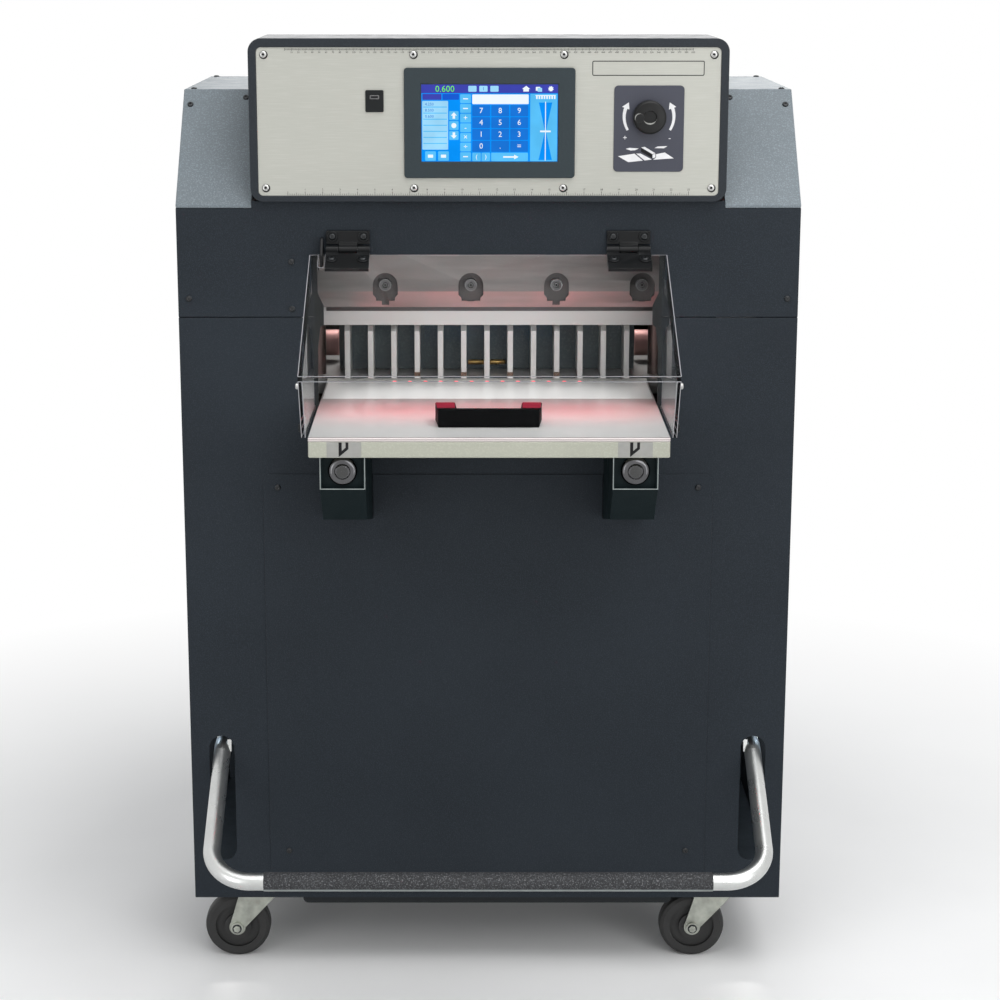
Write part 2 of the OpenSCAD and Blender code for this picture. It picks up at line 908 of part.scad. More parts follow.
module guard_shell() {
    skin = guard_t / cos(guard_slope);
    lip_in = guard_t - guard_reach;
    lip_low = guard_front_h - guard_lip;
    inner = guard_w / 2 - guard_t;
    color(clear) stand() difference() {
        across(-guard_w / 2, guard_w / 2) polygon([
            [-guard_rear, guard_low], [-guard_rear, guard_top_h], [-guard_top_d, guard_top_h],
            [-guard_reach, guard_front_h], [-guard_reach, lip_low], [-table_reach, guard_low]
        ]);
        across(-inner, inner) polygon([
            [eps, guard_low - eps], [eps, guard_line(0) - skin], [lip_in, guard_line(lip_in) - skin],
            [lip_in, lip_low], [-guard_reach - eps, lip_low], [-guard_reach - eps, guard_low - eps]
        ]);
        hinge_axis() translate([-notch_x, 0, 0]) {
            block([-notch_w / 2, notch_w / 2 - notch_reach, -4 * guard_t],
                  [notch_w / 2, notch_reach, guard_t]);
            rod_up(-4 * guard_t, guard_t, 0, notch_w / 2 - notch_reach, notch_w);
        }
        both_sides() hinge_axis() block([hinge_x - mid_knuckle_w / 2 - eps, -knuckle_d, -knuckle_d],
                                        [hinge_x + mid_knuckle_w / 2 + eps, 30, 30]);
    }
}

module hinge_base_leaves() {
    low = hinge_h + knuckle_d / 2 + eps;
    barrel_w = mid_knuckle_w - 2 * slide_gap;
    strip_top = low + leaf_h / 2;
    color(black) stand() {
        both_sides() difference() {
            union() {
                block([hinge_x - hinge_w / 2, -leaf_t, low], [hinge_x + hinge_w / 2, 0, low + leaf_h]);
                block([hinge_x - barrel_w / 2, -hinge_d, hinge_h], [hinge_x + barrel_w / 2, 0, low + 4]);
                rod_across(hinge_x - barrel_w / 2, hinge_x + barrel_w / 2, -hinge_d, hinge_h, knuckle_d);
            }
            rod_across(hinge_x - hinge_w, hinge_x + hinge_w, -hinge_d, hinge_h, hinge_pin_d + 2 * run_gap);
        }
        across(-notch_x - strip_t / 2, strip_t / 2 - notch_x) polygon([
            [0, strip_top], [-leaf_t * 2, strip_top], [-30, hinge_h - 6], [-30, hinge_h - 20],
            [-22, hinge_h - 27], [0, hinge_h - 8]
        ]);
    }
}

module hinge_pins() {
    color(zinc) stand() both_sides()
        rod_across(hinge_x - hinge_w / 2, hinge_x + hinge_w / 2, -hinge_d, hinge_h, hinge_pin_d);
}

module hinge_guard_leaves() {
    ear_w = (hinge_w - mid_knuckle_w) / 2;
    color(black) stand() both_sides() hinge_axis() difference() {
        union() {
            for (x = [hinge_x - hinge_w / 2, hinge_x + hinge_w / 2 - ear_w]) {
                rod_across(x, x + ear_w, 0, 0, knuckle_d);
                block([x, -knuckle_d, -hinge_lift], [x + ear_w, 0, 0]);
            }
            block([hinge_x - hinge_w / 2, -leaf_l, -hinge_lift],
                  [hinge_x + hinge_w / 2, -knuckle_d + 3, leaf_t - hinge_lift]);
        }
        rod_across(hinge_x - hinge_w, hinge_x + hinge_w, 0, 0, hinge_pin_d + 2 * run_gap);
    }
}

module cut_line_light() {
    light_in = 17;
    light = [throat_w / 2 - light_in, 20, 15];
    low = throat_top + sheet;
    color(black) stand()
        block([-light[0], sheet, low], [light[0], sheet + light[1], low + light[2]]);
}

// Knife

function bolt_x(i) = bolt_first + i * bolt_pitch;

// Keyhole pocket round a bolt: every other one runs on down to the bar's lower edge
module bar_pocket(through) {
    wide = pocket_d / 2;
    neck = pocket_neck / 2;
    slot_drop = through ? bolt_z - bar_low + eps : pocket_neck_drop[1] + eps;
    circle(d = pocket_d);
    polygon([
        [-wide, 0], [wide, 0], [wide, -pocket_side], [neck, -pocket_neck_drop[0]],
        [neck, -pocket_neck_drop[1]], [-neck, -pocket_neck_drop[1]],
        [-neck, -pocket_neck_drop[0]], [-wide, -pocket_side]
    ]);
    translate([-pocket_slot / 2, -slot_drop]) square([pocket_slot, slot_drop]);
}

module knife_bar() {
    top = bar_low + bar_h;
    color(knife_steel) stand() difference() {
        across(bar_left, bar_right) polygon([
            [knife_front + bar_chamfer * 0.5, bar_low], [knife_front, bar_low + bar_chamfer],
            [knife_front, top], [blade_front, top], [blade_front, bar_low]
        ]);
        for (x = [-roller_x, roller_x]) facing(knife_front - eps, blade_front + eps)
            capsule([x, roller_z], [x, roller_z] + knife_step, 2 * slot_half_d);
        for (i = [0 : bolt_n - 1]) {
            translate([bolt_x(i), 0, bolt_z]) facing(knife_front - eps, knife_front + pocket_deep)
                bar_pocket(i % 2 == 0);
            rod_deep(knife_front, blade_front + eps, bolt_x(i), bolt_z, bolt_shank_d + 2 * run_gap);
        }
    }
}

module knife_blade() {
    color(steel) stand() difference() {
        across(blade_left, blade_right) polygon([
            [blade_back, edge_h], [blade_front, edge_h + blade_bevel],
            [blade_front, edge_h + blade_h], [blade_back, edge_h + blade_h]
        ]);
        for (i = [0 : bolt_n - 1])
            rod_deep(knife_front, blade_back - 2, bolt_x(i), bolt_z, bolt_shank_d + 2 * run_gap);
    }
}

module knife_bolts() {
    head_t = 9;
    seat = knife_front + pocket_deep;
    color(zinc) stand() for (i = [0 : bolt_n - 1]) difference() {
        union() {
            rod_deep(seat - head_t, seat, bolt_x(i), bolt_z, bolt_head_d);
            rod_deep(seat - eps, blade_back - 3, bolt_x(i), bolt_z, bolt_shank_d);
        }
        translate([bolt_x(i), seat - head_t - eps, bolt_z]) rotate([-90, 0, 0])
            cylinder(h = 6, d = 10, $fn = 6);
    }
}

module knife_rod() {
    color(steel) stand() {
        union() {
            block([ram_x - ram_foot[0] / 2, knife_front, bar_low - ram_foot[1]],
                  [ram_x + ram_foot[0] / 2, blade_front, bar_low]);
            ram_axis() translate([0, 0, ram_foot[1] / 2])
                cylinder(h = ram_start + 60, d = ram_rod_d);
        }
    }
}

module guide_rollers() {
    front = knife_front - 6;
    color(steel) stand() for (x = [-roller_x, roller_x]) {
        rod_deep(knife_front - slide_gap, blade_front + slide_gap, x, roller_z, roller_d);
        rod_deep(front, knife_front - slide_gap, x, roller_z, roller_d + 14);
        rod_deep(blade_front + slide_gap, frame_front, x, roller_z, roller_d - 8);
    }
}

// Hydraulics

module hydraulic_cylinders() {
    pad = frame_front - ram_d;
    pad_half = 22;
    ram_l = ram_end - ram_start;
    color(black) stand() {
        ram_axis() difference() {
            union() {
                translate([0, 0, ram_start]) cylinder(h = ram_l, d = ram_barrel_d);
                block([-pad_half, 0, ram_seat_s[0]], [pad_half, pad, ram_seat_s[1]]);
            }
            translate([0, 0, ram_start - eps])
                cylinder(h = 2 * ram_gland, d = ram_rod_d + 2 * run_gap);
            translate([0, 0, ram_start + ram_gland])
                cylinder(h = ram_l - 2 * ram_gland, d = ram_bore_d);
        }
        difference() {
            union() {
                rod_up(barrel_z[0], barrel_z[1], 0, rod_y, barrel_d);
                rod_up(base_top, barrel_z[0] + eps, 0, rod_y, barrel_d * 0.7);
                rod_up(base_top, base_top + barrel_foot_h, 0, rod_y, barrel_foot_d);
            }
            rod_up(barrel_z[1] - 2 * barrel_gland, barrel_z[1] + eps, 0, rod_y, piston_d + 2 * run_gap);
            rod_up(barrel_z[0] + 5, barrel_z[1] - barrel_gland, 0, rod_y, barrel_bore_d);
        }
    }
}

module power_pack() {
    tank_end = frame_x - 15;
    mid_x = (tank_x + tank_end) / 2;
    saddle_front = pump_front + (pump_l - pump_saddle[1]) / 2;
    valve_back = valve_front + valve_block[1];
    sunk = tank_top - eps;
    color([0.30, 0.33, 0.36]) stand() union() {
        block([tank_x, tank_front, base_top], [tank_end, tank_back, tank_top]);
        block([mid_x - valve_block[0] / 2, valve_front, sunk],
              [mid_x + valve_block[0] / 2, valve_back, tank_top + valve_block[2]]);
        block([mid_x - pump_saddle[0] / 2, saddle_front, sunk],
              [mid_x + pump_saddle[0] / 2, saddle_front + pump_saddle[1], pump_z]);
        rod_deep(pump_front, pump_front + pump_l, mid_x, pump_z, pump_d);
        rod_deep(valve_back - eps, pump_front + eps, mid_x, pump_z - coupling_d / 2, coupling_d);
    }
}

// Clamp

module clamp_beam() {
    gap = finger_w / 2 + 1;
    reach = clamp_open + finger_h + bed_h + 4;
    socket = rod_d + 2 * run_gap;
    color(cream) stand() difference() {
        block([-clamp_w / 2, clamp_front, clamp_z], [clamp_w / 2, clamp_front + clamp_t, clamp_z + clamp_h]);
        for (i = [0 : finger_n - 1])
            block([finger_x(i) - gap, clamp_front + clamp_wall, clamp_z - eps],
                  [finger_x(i) + gap, clamp_front + clamp_t + eps, reach]);
        both_sides() rod_up(clamp_z - eps, clamp_z + rod_socket, rod_x, rod_y, socket);
    }
}

module clamp_rods() {
    color(steel) stand() {
        both_sides() rod_up(yoke_z, clamp_z + rod_socket, rod_x, rod_y, rod_d);
        rod_up(piston_low, yoke_z, 0, rod_y, piston_d);
    }
}

module clamp_yoke() {
    pin = [pivot_d - lever_l, pivot_h];
    slot_gap = 0.5;
    slot_run = 14;
    arm_top = [rod_y, yoke_z + yoke_h / 2];
    wide = 44;
    color(cabinet_grey) stand() union() {
        difference() {
            block([-rod_x - 18, rod_y - yoke_d / 2, yoke_z], [rod_x + 18, rod_y + yoke_d / 2, yoke_top]);
            both_sides() rod_up(yoke_z - eps, yoke_top + eps, rod_x, rod_y, rod_d + 2 * run_gap);
        }
        across(link_x, link_x + link_t) difference() {
            capsule(arm_top, pin, wide);
            capsule(pin + [-2, 0], pin + [slot_run, 0], lever_pin_d + 2 * slot_gap);
        }
    }
}

// Back gauge

function finger_x(i) = (i - (finger_n - 1) / 2) * finger_pitch;

module gauge_fingers() {
    low = bed_h + slide_gap;
    top = bed_h + finger_h;
    color(white) stand() for (i = [0 : finger_n - 1])
        across(finger_x(i) - finger_w / 2, finger_x(i) + finger_w / 2) polygon([
            [finger_front, low], [carriage_front, low], [carriage_front, top],
            [finger_front + finger_toe, top], [finger_front, top - finger_toe]
        ]);
}

module gauge_carriage() {
    low = bed_h + slide_gap;
    step = 14;
    color([0.10, 0.12, 0.14]) stand() across(-carriage_w / 2, carriage_w / 2) polygon([
        [carriage_front, low], [carriage_front + carriage_t, low], [carriage_front + carriage_t, low + 30],
        [carriage_front + step, low + 30], [carriage_front + step, low + carriage_h],
        [carriage_front, low + carriage_h]
    ]);
}

module gauge_nut() {
    low = bed_h + slide_gap;
    nut_w = 40;
    nut_h = 40;
    color([0.72, 0.56, 0.28]) stand() difference() {
        union() {
            block([-nut_w / 2, nut_front, screw_z - nut_h / 2],
                  [nut_w / 2, nut_front + nut_l, screw_z + nut_h / 2]);
            block([-nut_neck / 2, nut_front, screw_z], [nut_neck / 2, nut_front + nut_l, low]);
        }
        rod_deep(nut_front - eps, nut_front + nut_l + eps, 0, screw_z, screw_d + 2 * run_gap);
    }
}

module lead_screw() {
    color(steel) stand() rod_deep(block_front + 1, screw_back, 0, screw_z, screw_d);
}

module screw_bearings() {
    wide = motor_w + 6;
    color(cabinet_grey) stand() for (d = [block_front, screw_back - bearing_t]) difference() {
        block([-wide / 2, d, screw_z - motor_w / 2 - 2], [wide / 2, d + bearing_t, bed_under]);
        rod_deep(d - eps, d + bearing_t + eps, 0, screw_z, screw_d + 2 * run_gap);
    }
}

module gauge_motor() {
    corner_d = 10;
    color(black) stand() translate([0, 0, screw_z]) facing(motor_front, block_front) difference() {
        square(motor_w, center = true);
        for (x = [-1, 1], z = [-1, 1]) translate([x, z] * motor_w / 2) circle(d = corner_d);
    }
}

// Treadle

// Frame at the bend of the arms whose -Y axis runs down towards the foot bar
module arm_frame() {
    translate([0, arm_vertex, pivot_h]) rotate([arm_slope, 0, 0]) children();
}

module treadle_arm() {
    straight = bend_r - arm_l;
    bent_d = tube_d + 2 * bend_swell;
    rod_deep(arm_vertex + bend_run - eps, pivot_d, arm_x, pivot_h, tube_d);
    translate([arm_x, arm_vertex + bend_run, pivot_h - bend_r]) rotate([90, 0, 90]) rotate([0, 0, 90])
        rotate_extrude(angle = arm_slope) translate([bend_r, 0]) circle(d = bent_d);
    arm_frame() rod_deep(straight - eps, eps - bend_run, arm_x, 0, tube_d);
    arm_frame() translate([arm_x - bend_r, straight, 0]) rotate([0, 0, -90])
        rotate_extrude(angle = 90) translate([bend_r, 0]) circle(d = bent_d);
}

module treadle_frame() {
    end_d = 40;
    pin = [pivot_d - lever_l, pivot_h];
    color(zinc) stand() union() {
        both_sides() treadle_arm();
        arm_frame() rod_across(bend_r - arm_x - eps, arm_x - bend_r + eps, -arm_l, 0, tube_d);
        rod_across(-arm_x - 20, arm_x + 20, pivot_d, pivot_h, shaft_d);
        across(lever_x, lever_x + lever_t) {
            translate([pivot_d, pivot_h]) circle(d = hub_d);
            capsule(pin, [pivot_d, pivot_h], end_d);
        }
        rod_across(link_x - 4, lever_x + eps, pin[0], pin[1], lever_pin_d);
    }
}

module treadle_grip() {
    bare = 12;
    color(black) stand() arm_frame() difference() {
        rod_across(-grip_l / 2, grip_l / 2, -arm_l, 0, tube_d + 2 * grip_t);
        rod_across(-grip_l / 2 - eps, grip_l / 2 + eps, -arm_l, 0, tube_d + 2 * run_gap);
        block([-grip_l, -arm_l - bare / 2, -tube_d], [grip_l, -arm_l + bare / 2, 0]);
    }
}

module treadle_bearings() {
    foot = 60;
    color(cabinet_grey) stand() both_sides() across(bearing_x, bearing_x + bearing_w) difference() {
        union() {
            translate([pivot_d, pivot_h]) circle(d = 50);
            translate([pivot_d - 25, base_top]) square([50, pivot_h - base_top]);
            translate([pivot_d - foot - 25, base_top]) square([foot + 50, 12]);
        }
        translate([pivot_d, pivot_h]) circle(d = shaft_d + 2 * run_gap);
    }
}

// Castors

module castor_leg(from_x) {
    polygon([
        [-leg_top_w / 2, crown_z + 4], [leg_top_w / 2, crown_z + 4],
        [from_x + leg_eye_r, axle_z], [from_x - leg_eye_r, axle_z]
    ]);
    translate([from_x, axle_z]) circle(leg_eye_r);
}

module castor_body(trail) {
    head_d = 19;
    head_t = 6;
    out = leg_in + leg_t;
    facing(leg_in, out) castor_leg(-trail);
    facing(-out, -leg_in) castor_leg(-trail);
    rod_deep(-out, out, -trail, axle_z, axle_d);
    rod_deep(out - eps, out + head_t, -trail, axle_z, head_d);
    rod_deep(-out - head_t, eps - out, -trail, axle_z, head_d);
    block([-leg_top_w / 2, -out, crown_z], [leg_top_w / 2, out, crown_z + 4]);
}

module swivel_fork() {
    castor_body(castor_trail);
    rod_up(crown_z, plate_z - slide_gap, 0, 0, king_d);
}

module left_castor_fork() {
    color(zinc) stand() translate([-castor_x, castor_front, 0]) swivel_fork();
}

module right_castor_fork() {
    color(zinc) stand() translate([castor_x, castor_front, 0]) swivel_fork();
}

module castor_mounts() {
    plate = [100, 84];
    color(zinc) stand() {
        both_sides() translate([castor_x, castor_front, 0]) {
            block([-plate[0] / 2, -plate[1] / 2, plate_z], [plate[0] / 2, plate[1] / 2, castor_h]);
            difference() {
                rod_up(race_z, plate_z, 0, 0, 56);
                rod_up(race_z - eps, plate_z, 0, 0, king_d + 2 * run_gap);
            }
        }
        both_sides() translate([castor_x, castor_back, 0]) union() {
            rotate([0, 0, 90]) castor_body(0);
            rod_up(crown_z, plate_z, 0, 0, 56);
            block([-plate[1] / 2, -plate[0] / 2, plate_z], [plate[1] / 2, plate[0] / 2, castor_h]);
        }
    }
}

module castor_wheel() {
    r = wheel_d / 2;
    h = wheel_w / 2;
    hub = wheel_d * 0.2;
    rim = wheel_d * 0.34;
    bore = axle_d / 2 + run_gap;
    color([0.20, 0.20, 0.21]) rotate([90, 0, 0]) rotate_extrude() polygon([
        [bore, -h - 1], [hub, -h - 1], [hub, -h + 6], [rim, -h + 6], [rim, -h], [r - 6, -h],
        [r - 1.5, -h + 3], [r, -h + 9], [r, h - 9], [r - 1.5, h - 3], [r - 6, h],
        [rim, h], [rim, h - 6], [hub, h - 6], [hub, h + 1], [bore, h + 1]
    ]);
}

module left_front_wheel() {
    stand() translate([-castor_x - castor_trail, castor_front, axle_z]) castor_wheel();
}

module right_front_wheel() {
    stand() translate([castor_x - castor_trail, castor_front, axle_z]) castor_wheel();
}

module left_rear_wheel() {
    stand() translate([-castor_x, castor_back, axle_z]) rotate([0, 0, 90]) castor_wheel();
}

module right_rear_wheel() {
    stand() translate([castor_x, castor_back, axle_z]) rotate([0, 0, 90]) castor_wheel();
}

// Loose block

module jogging_block() {
    front = 162;
    taper = 5;
    wall = 10;
    notch = [45, 47.5];
    color(black) stand() translate([0, -front, bed_h + slide_gap]) linear_extrude(block_h) difference() {
        polygon([
            [taper - block_l / 2, 0], [block_l / 2 - taper, 0], [block_l / 2, block_d],
            [-block_l / 2, block_d]
        ]);
        polygon([
            [-notch[0], wall], [notch[0], wall], [notch[1], block_d + eps], [-notch[1], block_d + eps]
        ]);
    }
}

front_panel();
head_panel();
access_panel();
left_side_panel();
right_side_panel();
back_panel();
shoulder_covers();
top_cover();
base_plate();
drip_tray();
side_frames();
head_beam();
front_table();
table_plate();
rear_bed();
cutting_stick();
rear_cover();
console_housing();
console_faceplate();
screen_bezel();
screen_glass();
port_plate();
knob_plate();
button_brackets();
button_collars();
guide_rollers();
hydraulic_cylinders();
power_pack();
gauge_motor();
screw_bearings();
hinge_base_leaves();
hinge_pins();
cut_line_light();
treadle_bearings();
castor_mounts();
guard_shell();
hinge_guard_leaves();
knife_bar();
knife_blade();
knife_bolts();
knife_rod();
clamp_beam();
clamp_rods();
clamp_yoke();
gauge_carriage();
gauge_fingers();
gauge_nut();
lead_screw();
micro_knob();
left_button_cap();
right_button_cap();
treadle_frame();
treadle_grip();
left_castor_fork();
right_castor_fork();
left_front_wheel();
right_front_wheel();
left_rear_wheel();
right_rear_wheel();
jogging_block();
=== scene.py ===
import json
import math

import bmesh
import bpy
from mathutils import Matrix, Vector


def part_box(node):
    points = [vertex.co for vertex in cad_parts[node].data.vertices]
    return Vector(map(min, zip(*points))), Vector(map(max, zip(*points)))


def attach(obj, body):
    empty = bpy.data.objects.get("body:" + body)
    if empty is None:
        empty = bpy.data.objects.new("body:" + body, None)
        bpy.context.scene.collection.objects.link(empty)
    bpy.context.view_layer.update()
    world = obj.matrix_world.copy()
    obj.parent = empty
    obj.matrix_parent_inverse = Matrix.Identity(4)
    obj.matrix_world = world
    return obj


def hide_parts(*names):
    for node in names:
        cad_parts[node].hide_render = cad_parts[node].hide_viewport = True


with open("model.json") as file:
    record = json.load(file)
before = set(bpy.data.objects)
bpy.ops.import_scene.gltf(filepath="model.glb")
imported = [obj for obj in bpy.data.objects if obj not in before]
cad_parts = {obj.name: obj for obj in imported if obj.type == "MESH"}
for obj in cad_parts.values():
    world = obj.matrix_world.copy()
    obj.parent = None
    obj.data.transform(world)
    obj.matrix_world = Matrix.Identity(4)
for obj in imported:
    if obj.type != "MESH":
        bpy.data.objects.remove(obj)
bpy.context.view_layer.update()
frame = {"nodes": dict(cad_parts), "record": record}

scene = bpy.context.scene
nodes = frame["nodes"]

MM = 0.001
# the cabinet's front panel in the shared frame; "depth" below is measured back from it
FRONT_Y = -294.0

# node to body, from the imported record
BODY_OF = {
    node: body
    for body, members in frame["record"]["behaviour"]["bodies"].items()
    for node in members
}


def at(x, depth, z):
    """A point in metres from millimetres right, behind the front panel and up."""
    return Vector((x, FRONT_Y + depth, z)) * MM


# camera and light

camera_data = bpy.data.cameras.new("camera")
camera_data.lens = 84.0
camera_data.sensor_width = 36.0
camera_data.shift_x = 0.0283
camera = bpy.data.objects.new("camera", camera_data)
camera.location = (-0.024, -3.671, 1.550)
camera.rotation_euler = (math.radians(76.73), 0.0, 0.0)
scene.collection.objects.link(camera)
scene.camera = camera
scene.view_settings.view_transform = "Standard"


def area_light(name, place, aim, size, power, colour=(1, 1, 1), spread_angle=180.0):
    data = bpy.data.lights.new(name, "AREA")
    data.shape = "RECTANGLE"
    data.size, data.size_y = size
    data.energy = power
    data.color = colour
    data.spread = math.radians(spread_angle)
    lamp = bpy.data.objects.new(name, data)
    lamp.location = place
    lamp.rotation_euler = (Vector(aim) - Vector(place)).to_track_quat("-Z", "Y").to_euler()
    scene.collection.objects.link(lamp)
    return lamp


area_light("overhead", (0.5, -1.35, 3.5), (0.0, -0.35, 1.0), (3.0, 2.2), 62)
area_light("front_soft", (1.6, -3.6, 2.3), (0.0, -0.3, 0.8), (2.4, 2.4), 40)
area_light("front_fill", (-2.2, -3.2, 1.4), (0.0, -0.3, 0.7), (2.0, 2.0), 7)
area_light("rear_soft", (0.4, 3.4, 2.4), (0.0, 0.2, 0.9), (2.6, 2.2), 36)
# the red glow that the cut-line lamps throw down on the front of the table
red_glow = area_light(
    "cut_line_glow", at(0, 20, 1114), at(0, -38, 896), (0.47, 0.012), 0.32, (1.0, 0.03, 0.07), 55.0
)
red_glow.visible_glossy = False
# light on the table inside the throat
area_light(
    "throat_glow", at(0, 112, 1012), at(0, 120, 896), (0.44, 0.05), 0.085, (1.0, 0.99, 0.97), 100.0
)
# tall lamps at each side, for streaks along the tubes, and light inside the cabinet that is seen
# through the treadle's slots and beside the back gauge
for side in (-1, 1):
    area_light(f"strip_{side}", (side * 1.7, -2.3, 0.75), (side * 0.35, -0.3, 0.6), (0.8, 1.5), 7.5)
    area_light(
        f"slot_glow_{side}", at(side * 412, 60, 425), at(side * 432, 470, 150), (0.05, 0.05), 2.4,
        (1.0, 0.98, 0.94),
    )
    area_light(
        f"bed_glow_{side}", at(side * 215, 420, 1060), at(side * 222, 300, 900), (0.08, 0.08), 0.35,
        (1.0, 0.98, 0.95),
    )


# shader nodes

def new_material(name):
    material = bpy.data.materials.new(name)
    material.use_nodes = True
    return material, material.node_tree, material.node_tree.nodes["Principled BSDF"]


def noise(tree, scale, detail=3.0, stretch=(1, 1, 1)):
    """Noise fixed to the part; stretch squeezes it along an axis for brushed or drawn grain."""
    coords = tree.nodes.new("ShaderNodeTexCoord")
    mapping = tree.nodes.new("ShaderNodeMapping")
    mapping.inputs["Scale"].default_value = stretch
    texture = tree.nodes.new("ShaderNodeTexNoise")
    texture.inputs["Scale"].default_value = scale
    texture.inputs["Detail"].default_value = detail
    tree.links.new(coords.outputs["Object"], mapping.inputs["Vector"])
    tree.links.new(mapping.outputs["Vector"], texture.inputs["Vector"])
    return texture.outputs["Fac"]


def spread(tree, factor, low, high, start=0.3, end=0.7):
    """Map a number from one range to another."""
    node = tree.nodes.new("ShaderNodeMapRange")
    node.inputs["From Min"].default_value = start
    node.inputs["From Max"].default_value = end
    node.inputs["To Min"].default_value = low
    node.inputs["To Max"].default_value = high
    tree.links.new(factor, node.inputs["Value"])
    return node.outputs["Result"]


def mix(tree, factor, first, second):
    """Mix two colours, each given as a tuple or a socket."""
    node = tree.nodes.new("ShaderNodeMix")
    node.data_type = "RGBA"
    tree.links.new(factor, node.inputs["Factor"])
    for colour, socket in ((first, node.inputs["A"]), (second, node.inputs["B"])):
        if isinstance(colour, tuple):
            socket.default_value = (*colour, 1.0)
        else:
            tree.links.new(colour, socket)
    return node.outputs["Result"]


def edge_mask(tree, width):
    """One along sharp edges, zero on flats: where the rounded normal leaves the true one."""
    eased = tree.nodes.new("ShaderNodeBevel")
    eased.samples = 4
    eased.inputs["Radius"].default_value = width
    geometry = tree.nodes.new("ShaderNodeNewGeometry")
    dot = tree.nodes.new("ShaderNodeVectorMath")
    dot.operation = "DOT_PRODUCT"
    tree.links.new(eased.outputs["Normal"], dot.inputs[0])
    tree.links.new(geometry.outputs["Normal"], dot.inputs[1])
    return spread(tree, dot.outputs["Value"], 0.0, 1.0, 0.98, 0.84)


def arithmetic(tree, operation, first, second):
    """A sum on two numbers, each given as a number or a socket."""
    node = tree.nodes.new("ShaderNodeMath")
    node.operation = operation
    for value, socket in ((first, node.inputs[0]), (second, node.inputs[1])):
        if isinstance(value, float):
            socket.default_value = value
        else:
            tree.links.new(value, socket)
    return node.outputs[0]


def place_on(tree, axis):
    """One coordinate in the piece's own frame, in metres."""
    coords = tree.nodes.new("ShaderNodeTexCoord")
    split = tree.nodes.new("ShaderNodeSeparateXYZ")
    tree.links.new(coords.outputs["Object"], split.inputs[0])
    return split.outputs[axis]


def recolour(material, factor, colour):
    """Lay another colour over a material where the factor is one."""
    tree = material.node_tree
    socket = tree.nodes["Principled BSDF"].inputs["Base Color"]
    tree.links.new(mix(tree, factor, socket.links[0].from_socket, colour), socket)


def scaled(colour, by):
    return tuple(min(1.0, c * by) for c in colour)


def mottled(tree, colour, tone, scale, detail):
    """A colour that slowly goes a little darker and lighter."""
    drift = spread(tree, noise(tree, scale, detail), 0.0, 1.0)
    return mix(tree, drift, scaled(colour, 1.0 - tone), scaled(colour, 1.0 + tone))


def mix_shaders(tree, factor, first, second):
    node = tree.nodes.new("ShaderNodeMixShader")
    for source, socket in zip((factor, first, second), node.inputs):
        tree.links.new(source, socket)
    return node.outputs[0]


def background_rays(tree):
    """One for rays that meet the background directly, in metal or through the guard."""
    path = tree.nodes.new("ShaderNodeLightPath").outputs
    seen = arithmetic(tree, "MAXIMUM", path["Is Camera Ray"], path["Is Transmission Ray"])
    return arithmetic(tree, "MAXIMUM", seen, path["Is Glossy Ray"])


def background(tree, colour, strength):
    node = tree.nodes.new("ShaderNodeBackground")
    node.inputs["Color"].default_value = (*colour, 1.0)
    node.inputs["Strength"].default_value = strength
    return node.outputs[0]


# world: white where it is seen, and a dimmer light on the part

world = bpy.data.worlds.new("studio")
scene.world = world
world.use_nodes = True
sky = world.node_tree
sky.nodes.clear()
ambient = background(sky, (0.97, 0.985, 1.0), 0.45)
white = background(sky, (1.0, 1.0, 1.0), 1.0)
sky_shader = mix_shaders(sky, background_rays(sky), ambient, white)
sky.links.new(sky_shader, sky.nodes.new("ShaderNodeOutputWorld").inputs["Surface"])


# materials

def surface(
    name, colour, metallic=0.0, rough=0.5, tone=0.08, tone_scale=4.0, speckle=0.0,
    speckle_scale=900.0, grain=900.0, depth=0.0, stretch=(1, 1, 1), wear=None,
    wear_width=0.0012, rough_spread=0.06, specular=0.5,
):
    """A painted, moulded or metal surface: slow tone, fine speckle, grain bump and worn edges."""
    material, tree, bsdf = new_material(name)
    bsdf.inputs["Metallic"].default_value = metallic
    bsdf.inputs["Specular IOR Level"].default_value = specular
    shade = mottled(tree, colour, tone, tone_scale, 4.0)
    if speckle:
        flecks = spread(tree, noise(tree, speckle_scale, 1.0, stretch), 0.0, speckle, 0.5, 0.68)
        shade = mix(tree, flecks, shade, scaled(colour, 2.6))
    if wear:
        patches = spread(tree, noise(tree, 60.0), 0.15, 0.75)
        rub = arithmetic(tree, "MULTIPLY", edge_mask(tree, wear_width), patches)
        shade = mix(tree, rub, shade, wear)
    tree.links.new(shade, bsdf.inputs["Base Color"])
    tree.links.new(
        spread(tree, noise(tree, 35.0, 3.0, stretch), rough - rough_spread, rough + rough_spread),
        bsdf.inputs["Roughness"],
    )
    if depth:
        bump = tree.nodes.new("ShaderNodeBump")
        bump.inputs["Distance"].default_value = depth
        bump.inputs["Strength"].default_value = 0.6
        tree.links.new(noise(tree, grain, 2.0, stretch), bump.inputs["Height"])
        tree.links.new(bump.outputs["Normal"], bsdf.inputs["Normal"])
    return material


def glow(name, colour, strength, tone=0.08):
    """A lit screen colour or lamp, with a slow change in brightness."""
    material, tree, bsdf = new_material(name)
    bsdf.inputs["Base Color"].default_value = (*scaled(colour, 0.02), 1.0)
    bsdf.inputs["Roughness"].default_value = 0.25
    bsdf.inputs["Specular IOR Level"].default_value = 0.01
    bsdf.inputs["Emission Strength"].default_value = strength
    tree.links.new(mottled(tree, colour, tone, 30.0, 2.0), bsdf.inputs["Emission Color"])
    return material


